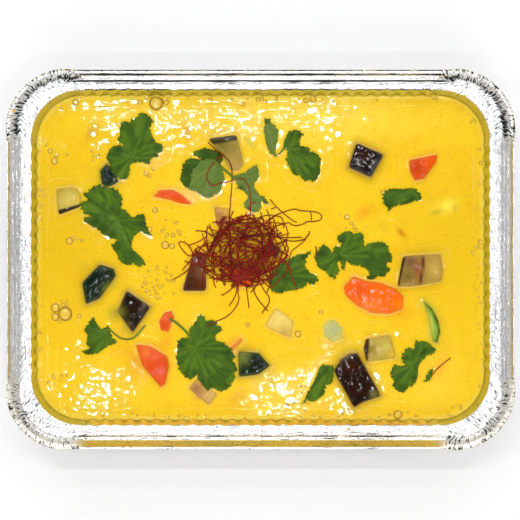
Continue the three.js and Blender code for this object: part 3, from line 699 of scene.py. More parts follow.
@dataclass(frozen=True)
class BubbleFinish:
    """Thin bubble of sauce: clear in the middle, with a darker rim of painted shade on the steep lower part.
    """

    film: Colour = srgb(230, 190, 50)
    # Colour of the painted shade on the lower part of the dome.
    rim: Colour = srgb(136, 96, 20)

    def material(self) -> Material:
        """The bubbles' material."""
        shader = Shader("bubble", IOR=1.4, Coat_Roughness=0.03)
        edge = shader.value("edge")
        # Painted shade: a darker ring on the steep lower part of the dome.
        painted_rim_shade = edge.step(0.45, 0.8) * (1.0 - edge.step(0.9, 1.0) * 0.6)
        tone = shader.mix(painted_rim_shade * 0.75, self.film, self.rim)
        tone = shader.mix(shader.grain(0.8, 2).step(0.4, 0.7) * 0.2, tone, srgb(214, 160, 30))
        rough = shader.grain(1, 1) * 0.06 + 0.05
        return shader.feed(Base_Color=tone, Roughness=rough, Coat_Weight=1.0 - edge * 0.3)


@dataclass(frozen=True)
class SpeckFinish:
    """Bits of spice and chilli in the sauce."""

    spice: Colour = srgb(150, 84, 18)
    chilli: Colour = srgb(224, 84, 14)

    def material(self) -> Material:
        """The specks' material."""
        shader = Shader("speck", IOR=1.4)
        tone = shader.mix(shader.value("shade").step(0.45, 0.7), self.spice, self.chilli)
        tone = shader.mix(shader.grain(0.4, 1) * 0.3, tone, srgb(236, 180, 30))
        return shader.feed(Base_Color=tone, Roughness=shader.grain(1, 1) * 0.1 + 0.25)


@dataclass(frozen=True)
class FloorFinish:
    """Plain white table top."""

    def material(self) -> Material:
        """The floor's material."""
        shader = Shader("floor")
        tone = shader.mix(shader.grain(60) * 0.04, (0.96, 0.96, 0.96), (0.9, 0.9, 0.9))
        return shader.feed(Base_Color=tone, Roughness=shader.grain(30) * 0.1 + 0.6)


# ---- Tray -----------------------------------------------------------------------


@dataclass(frozen=True)
class Oblong:
    """Outline of a horizontal section of the tray: a rectangle with round corners."""

    half_x: float
    half_y: float
    radius: float

    def grown(self, by: float) -> "Oblong":
        """The outline moved outwards."""
        return Oblong(self.half_x + by, self.half_y + by, self.radius + by)

    def toward(self, other: "Oblong", share: float) -> "Oblong":
        """An outline between this one and another.

        Args:
            other: The other one.
            share: Way to it, 0 to 1.

        Returns:
            The outline.
        """
        return Oblong(
            self.half_x + share * (other.half_x - self.half_x),
            self.half_y + share * (other.half_y - self.half_y),
            self.radius + share * (other.radius - self.radius),
        )


@dataclass(frozen=True)
class TrayShape:
    """Sizes of the tray, as in the solids."""

    floor: Oblong = Oblong(85, 58.2, 12)
    foot: Oblong = Oblong(88.2, 61.4, 15)
    mouth: Oblong = Oblong(97.2, 71, 21)
    rim: Oblong = Oblong(106.3, 79.3, 27)
    foot_height: float = 4
    ledge_height: float = 40
    rim_height: float = 45
    shift: float = 0.8  # the cavity lies off the rim's middle, along +Y
    long_flutes: int = 28
    short_flutes: int = 18
    flute_foot: float = 0.6
    flute_line: float = 0.5
    flute_mouth: float = 0.25
    corner_bulge: float = 1.3

    def wall(self, z: float) -> Oblong:
        """Inside of the wall at a height."""
        return self.foot.toward(self.mouth, (z - self.foot_height) / (self.ledge_height - self.foot_height))

    def flute(self, z: float) -> float:
        """Depth of the flutes at a height."""
        heights = [self.foot_height, self.ledge_height - 5, self.ledge_height]
        return float(np.interp(z, heights, [self.flute_foot, self.flute_line, self.flute_mouth]))


@dataclass(frozen=True)
class Row:
    """One ring of the foil's skin."""

    size: Oblong
    heights: Array | float  # the same all round, or one for each station
    shift: float = 0.0
    flute: float = 0.0
    bulge: float = 0.0
    crinkle: float = 0.0  # height of the random creases
    pleat: float = 0.0  # depth of the folds in the corners
    share: float = 0.0  # way from the mouth, 0, to the outer edge, 1
    inside: bool = False  # whether it belongs to the floor or the wall within


class Zone(Enum):
    """Stretches of the rim that are bent alike."""

    SIDES = "left and right"
    FAR = "far"
    NEAR = "near"
    FAR_CORNER = "far corners"
    NEAR_CORNER = "near corners"


# Way out from the mouth, 0 to 1, with the height there, millimetres.
BENDS = {
    Zone.FAR: ((0, 40), (0.3, 40), (0.34, 39.8), (0.38, 40), (0.42, 40.1), (0.54, 42.2), (0.73, 42.5),
               (0.86, 44.3), (1, 44.7)),
    Zone.NEAR: ((0, 40), (0.33, 40), (0.36, 40.25), (0.46, 40.3), (0.5, 40.0), (0.55, 40.3), (0.6, 40.7),
                (0.66, 40.7), (0.935, 44.5), (1, 44.7)),
    Zone.SIDES: ((0, 40), (0.27, 40), (0.3, 40.25), (0.33, 40), (0.5, 40.8), (0.6, 41.6), (0.64, 41.75),
                 (0.76, 42.75), (0.8, 42.9), (0.96, 44.3), (1, 44.7)),
    Zone.FAR_CORNER: ((0, 40), (0.3, 40.05), (0.55, 40.2), (0.62, 41), (0.72, 43.0), (0.85, 44.1), (1, 44.6)),
    Zone.NEAR_CORNER: ((0, 40), (0.3, 40.05), (0.5, 40.3), (0.6, 41.2), (0.66, 41.6), (0.8, 43.6), (1, 44.6)),
}
# Way out, with how dark the painted shade in the creases is there.
CREASE_SHADES = {
    Zone.FAR: ((0, 0.9), (0.05, 0.8), (0.075, 0.1), (0.3, 0.15), (0.34, 0.2), (0.36, 0.75), (0.38, 0.15),
               (0.43, 0.25), (0.455, 1.1), (0.5, 1.1), (0.52, 0.2), (0.76, 0.25), (0.785, 0.9), (0.825, 0.9),
               (0.85, 0.15), (0.96, 0.1), (1, 0.8)),
    Zone.NEAR: ((0, 0.7), (0.035, 0.1), (0.3, 0.2), (0.35, 0.5), (0.38, 0.2), (0.47, 0.3), (0.5, 0.75),
                (0.53, 0.4), (0.58, 0.1), (0.61, 0.55), (0.635, 0.45), (0.67, 0.1), (0.88, 0.1), (0.92, 0.6),
                (0.95, 0.4), (0.97, 0.1), (1, 0.25)),
    Zone.SIDES: ((0, 0.3), (0.04, 0.18), (0.24, 0.18), (0.28, 0.42), (0.32, 0.14), (0.5, 0.2), (0.56, 0.1),
                 (0.9, 0.1), (0.95, 0.2), (1, 0.1)),
    Zone.FAR_CORNER: ((0, 0.5), (0.05, 0.2), (0.3, 0.3), (0.5, 0.35), (0.58, 0.5), (0.64, 0.68), (0.7, 0.5),
                      (0.78, 0.3), (0.95, 0.3), (1, 0.5)),
    Zone.NEAR_CORNER: ((0, 0.4), (0.05, 0.2), (0.4, 0.25), (0.6, 0.3), (0.66, 0.36), (0.74, 0.25),
                       (0.95, 0.2), (1, 0.4)),
}
# Way out, with how much painted grey reflection it has there, and how rough it is.
SHADED_SPECKLES = {
    Zone.FAR: ((0, 0.1), (1, 0.15)),
    Zone.NEAR: ((0, 0.3), (0.5, 0.5), (0.6, 0.1), (1, 0.1)),
    Zone.SIDES: ((0, 0.6), (0.28, 0.75), (0.5, 0.7), (0.58, 0.25), (1, 0.15)),
    Zone.FAR_CORNER: ((0, 0.2), (0.5, 0.5), (0.6, 0.9), (0.75, 0.8), (1, 0.6)),
    Zone.NEAR_CORNER: ((0, 0.3), (0.5, 0.4), (0.6, 0.8), (1, 0.8)),
}
# Way out, with how much it is streaked along, in relief and with painted darker reflections.
SHADED_STREAKS = {
    Zone.FAR: ((0, 0.1), (1, 0.2)),
    Zone.NEAR: ((0, 0.3), (0.5, 0.4), (0.65, 0.1), (1, 0.1)),
    Zone.SIDES: ((0, 0), (0.5, 0.1), (0.6, 0.6), (1, 0.5)),
    Zone.FAR_CORNER: ((0, 0), (1, 0)),
    Zone.NEAR_CORNER: ((0, 0), (1, 0)),
}
# Way out, with how much painted reflection of the curry it takes.
CURRY_REFLECTIONS = {
    Zone.FAR: ((0, 0), (0.9, 0), (1, 0.4)),
    Zone.NEAR: ((0, 0), (0.45, 0.1), (0.5, 0.5), (0.55, 0.1), (0.64, 0), (0.68, 1), (0.93, 1), (0.96, 0),
                (1, 0)),
    Zone.SIDES: ((0, 0), (0.88, 0), (0.93, 0.9), (0.97, 0.5), (1, 0)),
    Zone.FAR_CORNER: ((0, 0), (0.9, 0), (1, 0.35)),
    Zone.NEAR_CORNER: ((0, 0), (0.6, 0.05), (0.8, 0.1), (1, 0.3)),
}


@dataclass
class FoilTray:
    """The foil tray: fluted walls, ledge, small step and upright flange with a rolled edge."""

    shape: TrayShape = TrayShape()
    thickness: float = 0.25
    per_flute: int = 8
    pleats: int = 42
    per_pleat: int = 4
    pleat_widths: tuple[float, float] = (0.6, 1.4)
    pleat_heights: tuple[float, float] = (0.35, 1.0)
    corner_radii: Plan = ((0, 21), (0.5, 19.5), (0.62, 22), (1, 27))  # by the way out
    reach: float = 0.1  # how far the flange goes past the rim's outline
    rim_width: float = 9.6  # from the mouth to the edge, along the foil
    near_curry_reflection: float = 0.55  # how much painted reflection of the curry the near wall takes
    roll: float = 0.4  # radius of the rolled edge
    lower: float = 44.5  # height at which the roll starts
    seed: int = 11
    splashes: tuple[Spot, ...] = (
        (92, 70, 1.7), (38, 119, 2.6), (15, 112, 1.7), (464, 96, 2), (348, 429, 1.6), (66, 70, 1.7),
        (5, 129, 1.5),
    )

    def __post_init__(self) -> None:
        """Places the stations round the tray."""
        rng = np.random.default_rng(self.seed)
        side, along, sweep, fold = [], [], [], []
        for k in range(4):
            flutes = self.shape.short_flutes if k % 2 == 0 else self.shape.long_flutes
            count = flutes * self.per_flute
            side += [k] * count
            along += list((np.arange(count) + 0.5) / count * 2 - 1)
            sweep += [0.0] * count
            fold += [0.0] * count
            widths = rng.uniform(*self.pleat_widths, self.pleats)
            edges = np.concatenate([[0], np.cumsum(widths)]) / widths.sum()
            heights = rng.uniform(*self.pleat_heights, self.pleats)
            count = self.pleats * self.per_pleat
            places = np.interp(np.linspace(0, self.pleats, count + 1), range(self.pleats + 1), edges)
            side += [k] * (count + 1)
            along += [1.0] * (count + 1)
            sweep += list(places)
            phase = np.linspace(0, self.pleats, count + 1)
            rise = np.abs((phase % 1) * 2 - 1) * 2 - 1
            fold += list(rise * heights[np.minimum(phase.astype(int), self.pleats - 1)])
        self.side, self.along = np.array(side), np.array(along)
        self.sweep, self.fold = np.array(sweep), np.array(fold)
        self.straight = self.along < 1.0
        self.corner = np.where(self.straight, ease(0.9, 1.0, np.abs(self.along)), 1.0)
        outer = self.ring(Row(self.shape.rim, self.shape.rim_height))
        self.far = outer[:, 1] > 0
        step = np.hypot(*np.diff(outer[:, :2], axis=0, append=outer[:1, :2]).T)
        self.run = np.concatenate([[0], np.cumsum(step)[:-1]])

    def ring(self, row: Row) -> Array:
        """Points of one ring.

        Args:
            row: The ring's size and height.

        Returns:
            Its points, one to a row.
        """
        shape, size = self.shape, row.size
        short = self.side % 2 == 0
        reach = np.where(short, size.half_x, size.half_y)
        span = np.where(short, size.half_y, size.half_x)
        flutes = np.where(short, shape.short_flutes, shape.long_flutes)
        window = np.sin(np.clip(self.sweep, 0, 1) * np.pi) ** 0.6
        wave = row.flute * np.sin(np.pi * (self.along + 1) * flutes)
        folds = row.pleat * self.fold * np.sin(np.clip(self.sweep, 0, 1) * np.pi) ** 0.3
        swell = np.where(self.straight, wave, row.bulge * window + 0.6 * folds)
        angle = self.sweep * np.pi / 2
        bent, cut = size.radius + swell, size.radius
        out = np.where(self.straight, reach + swell, reach - cut + bent * np.cos(angle))
        across = np.where(self.straight, self.along * (span - cut), span - cut + bent * np.sin(angle))
        turn = self.side * np.pi / 2
        x = out * np.cos(turn) - across * np.sin(turn)
        y = out * np.sin(turn) + across * np.cos(turn) + row.shift
        crease = 0.6 * patchy(x, y, 2.6, 3) + 0.4 * patchy(x, y, 1.0, 4)
        z = row.heights + 0.6 * folds + row.crinkle * crease
        return np.column_stack([x, y, z])

    def profile(self, table: Mapping[Zone, Plan], share: float) -> Array:
        """Value of a table of the rim's zones, for every station.

        Args:
            table: Points of way out and value for every zone.
            share: The way out, 0 to 1.

        Returns:
            One value for each station.
        """
        found = {zone: float(np.interp(share, *zip(*points))) for zone, points in table.items()}
        near = np.where(self.side == 3, found[Zone.NEAR], found[Zone.SIDES])
        straight = np.where(self.side == 1, found[Zone.FAR], near)
        round_corner = np.where(self.far, found[Zone.FAR_CORNER], found[Zone.NEAR_CORNER])
        return straight * (1 - self.corner) + round_corner * self.corner

    def rim_row(self, share: float, below: float = 0.0) -> Row:
        """A ring of the ledge or the flange.

        Args:
            share: Way from the mouth, 0, to the outer edge, 1.
            below: Distance under the upper skin.

        Returns:
            The ring.
        """
        s = self.shape
        radius = float(np.interp(share, *zip(*self.corner_radii)))
        size = replace(s.mouth.toward(s.rim.grown(self.reach), share).grown(below), radius=radius)
        flat = math.sin(math.pi * min(1.0, share / 0.55)) if share < 0.55 else 0.0
        upper = float(np.interp(share, (0.5, 0.7), (0, 1)))
        return Row(
            size, self.profile(BENDS, share) - below, s.shift * (1 - share),
            s.flute_mouth * max(0.0, 1 - share * 6), s.corner_bulge * upper * share,
            0.1 * flat, 0.08 + 0.14 * min(1.0, share * 2) + 0.26 * upper, share,
        )

    def rows(self) -> list[Row]:
        """Rings from the middle of the floor over the rolled edge to the underside of the floor."""
        s, t = self.shape, self.thickness
        rows = [
            Row(s.floor.grown(-12), t, s.shift), Row(s.floor, t, s.shift),
            Row(s.floor.toward(s.foot, 0.5), s.foot_height * 0.35, s.shift, s.flute_foot * 0.5),
        ]
        rows += [Row(s.wall(z), z, s.shift, s.flute(z)) for z in (4, 20, 33, 34.5, 36, 37.5, 39, 39.7)]
        rows = [replace(row, inside=True) for row in rows]
        rows += [self.rim_row(share) for share in np.linspace(0, 1, 31)]
        for turn in (50, 10, -30, -70):
            angle = math.radians(turn)
            size = s.rim.grown(self.reach + self.roll * math.cos(angle))
            z = self.lower - self.roll + self.roll * math.sin(angle)
            rows.append(Row(size, z, bulge=s.corner_bulge, pleat=0.3, share=1.05))
        rows += [self.rim_row(share, t) for share in (0.97, 0.86, 0.75, 0.64, 0.55, 0.48, 0.38, 0.2, 0.08)]
        for z in (39, 34, 20, 4):
            rows.append(Row(s.wall(z).grown(t), z, s.shift, s.flute(z)))
        foot = s.floor.toward(s.foot, 0.5).grown(t)
        rows.append(Row(foot, s.foot_height * 0.3, s.shift, s.flute_foot * 0.5))
        rows += [Row(s.floor.grown(t * 0.5), 0.0, s.shift), Row(s.floor.grown(-12), 0.0, s.shift)]
        return rows

    def marks(self, rows: Sequence[Row], points: Array) -> dict[str, Array]:
        """What the foil's material reads from the mesh.

        Args:
            rows: The rings.
            points: Their points.

        Returns:
            Values at the points, by name.
        """
        s, count = self.shape, len(self.side)
        found: dict[str, list[Array]] = {key: [] for key in ("run", "up", "corner", "warm", "wall")}
        tables = {"soot": CREASE_SHADES, "speckle": SHADED_SPECKLES, "streak": SHADED_STREAKS}
        found |= {key: [] for key in tables}
        # Random strength, along the rim, of the painted shade and the painted grey reflections.
        dull = 0.7 + 0.3 * ease(-0.2, 0.6, patchy(self.run, self.run * 0, 9, 7))
        for k, row in enumerate(rows):
            rim = row.share > 0 or np.ndim(row.heights) > 0
            share = min(row.share, 1.0)
            found["run"].append(self.run)
            found["up"].append(np.full(count, self.rim_width * share if rim else -0.35 * k))
            found["corner"].append(self.corner)
            for key, table in tables.items():
                found[key].append(self.profile(table, share) * dull if rim else np.zeros(count))
            # Painted reflections of the curry: by the table on the rim, by the near share on the near wall,
            # and as the value wall on the rest of the wall.
            depth = s.ledge_height - float(np.mean(row.heights))
            wall = float(ease(0.0, 0.5, np.array(depth))) if row.inside else 0.0
            near = wall * (1 - self.corner) * (self.side % 2) * (1 - self.far)
            found["warm"].append(self.profile(CURRY_REFLECTIONS, share) if rim else near * self.near_curry_reflection)
            found["wall"].append(np.zeros(count) if rim else wall - near)
        values = {key: np.concatenate(parts) for key, parts in found.items()}
        top = points[:, 2] > s.ledge_height - 0.5
        values["splash"] = spotted(self.splashes, points, s.ledge_height) * top
        return values

    def build(self, material: Material) -> Object:
        """Makes the tray.

        Args:
            material: The foil.

        Returns:
            The finished piece.
        """
        rows = self.rows()
        points = np.vstack([self.ring(row) for row in rows])
        low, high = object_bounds()
        points = np.clip(points, np.array(low) / MM, np.array(high) / MM)
        count = len(self.side)
        faces = list(grid_faces(len(rows), count, closed=True))
        faces.append(np.arange(count)[::-1])
        faces.append(np.arange(count) + (len(rows) - 1) * count)
        made = make_object("tray_foil", points, [tuple(f)[::-1] for f in faces], self.marks(rows, points))
        return finished(made, material, "foil", "foil_tray")


# ---- What lies in the sauce -----------------------------------------------------


@dataclass(frozen=True)
class Viewpoint:
    """Camera over the tray, which also turns places in its picture into places on the part."""

    height: float = 645.0
    rim: float = 45.0
    span: float = 218.4  # millimetres across the picture at the rim
    picture: int = 520
    off: float = -0.21  # the camera's place, along and across

    def place(self, px: float, py: float, z: float = SEEN) -> tuple[float, float]:
        """Place in plan of a point of the picture.

        Args:
            px: Its column.
            py: Its row.
            z: Its height.

        Returns:
            Its place along and across, in millimetres.
        """
        scale = self.span / self.picture * (self.height - z) / (self.height - self.rim)
        half = self.picture / 2
        return self.off + (px - half) * scale, self.off + (half - py) * scale

    def places(self, path: Plan) -> Array:
        """Places in plan of the points of a path in the picture, one to a row."""
        return np.array([self.place(px, py) for px, py in path])


VIEW = Viewpoint()


@dataclass(frozen=True)
class Dab:
    """Soft patch of colour, placed in the camera's picture."""

    px: float
    py: float
    reach: float  # radius in pixels
    colour: Colour = (0, 0, 0)
    strength: float = 1.0
    stretch: float = 1.0  # length along its direction over its width
    turn: float = 0.0  # that direction, degrees against the clock
    height: float = SEEN
    pixel: float = 0.425  # millimetres

    def share(self, points: Array) -> Array:
        """How much of the colour shows.

        Args:
            points: Points, of which the plan counts.

        Returns:
            One value for each point, 0 to 1.
        """
        x, y = VIEW.place(self.px, self.py, self.height)
        angle = math.radians(self.turn)
        dx, dy = points[:, 0] - x, points[:, 1] - y
        along = (dx * math.cos(angle) + dy * math.sin(angle)) / self.stretch
        aside = -dx * math.sin(angle) + dy * math.cos(angle)
        radius = np.hypot(along, aside) / (self.reach * self.pixel)
        return self.strength * np.exp(-radius**2 * 1.2)


def painted(base: Colour, dabs: Sequence[Dab], points: Array) -> Array:
    """Colours at points, from a ground colour and the patches over it.

    Args:
        base: Ground colour.
        dabs: Patches, the last one on top.
        points: Points, of which the plan counts.

    Returns:
        One colour to a row.
    """
    colours = np.tile(np.array(base), (len(points), 1))
    for dab in dabs:
        colours = blend(colours, dab.colour, dab.share(points))
    return colours


def spotted(spots: Sequence[Spot], points: Array, height: float = SEEN) -> Array:
    """How strongly points of the plan lie in round spots, seen at a height: 0 to 1 for each."""
    shares = [Dab(px, py, reach, height=height).share(points) for px, py, reach in spots]
    return np.max([np.zeros(len(points)), *shares], axis=0)


class Kind(Enum):
    """What a piece is cut from."""

    AUBERGINE = "aubergine"
    DARK_AUBERGINE = "aubergine_skin"
    ZUCCHINI = "zucchini_skin"
    ZUCCHINI_FLESH = "zucchini_flesh"
    CARROT = "carrot"


@dataclass(frozen=True)
class Chunk:
    """A cut vegetable that stands out of the sauce."""

    node: str
    kind: Kind
    rise: float
    sunk: float
    lean: tuple[float, float]
    outline: Plan
    base: Colour
    dabs: tuple[Dab, ...] = ()
    edge: float = 0.45  # radius of its rounded edges
    skin: tuple[tuple[float, float, float, float, float], ...] = ()  # lines x0, y0, x1, y1, width
    skin_colour: Colour = srgb(40, 24, 14)
    glints: tuple[Spot, ...] = ()

    def corners(self) -> Array:
        """Outline against the clock."""
        return counterclockwise(np.asarray(self.outline, float))

    def top(self, points: Array) -> Array:
        """Height of the leaning top over points of the plan."""
        middle = np.asarray(self.outline, float).mean(0)
        return LEVEL + self.rise + (points[:, :2] - middle) @ np.array(self.lean)


SAUCE_FILM = srgb(232, 190, 52)

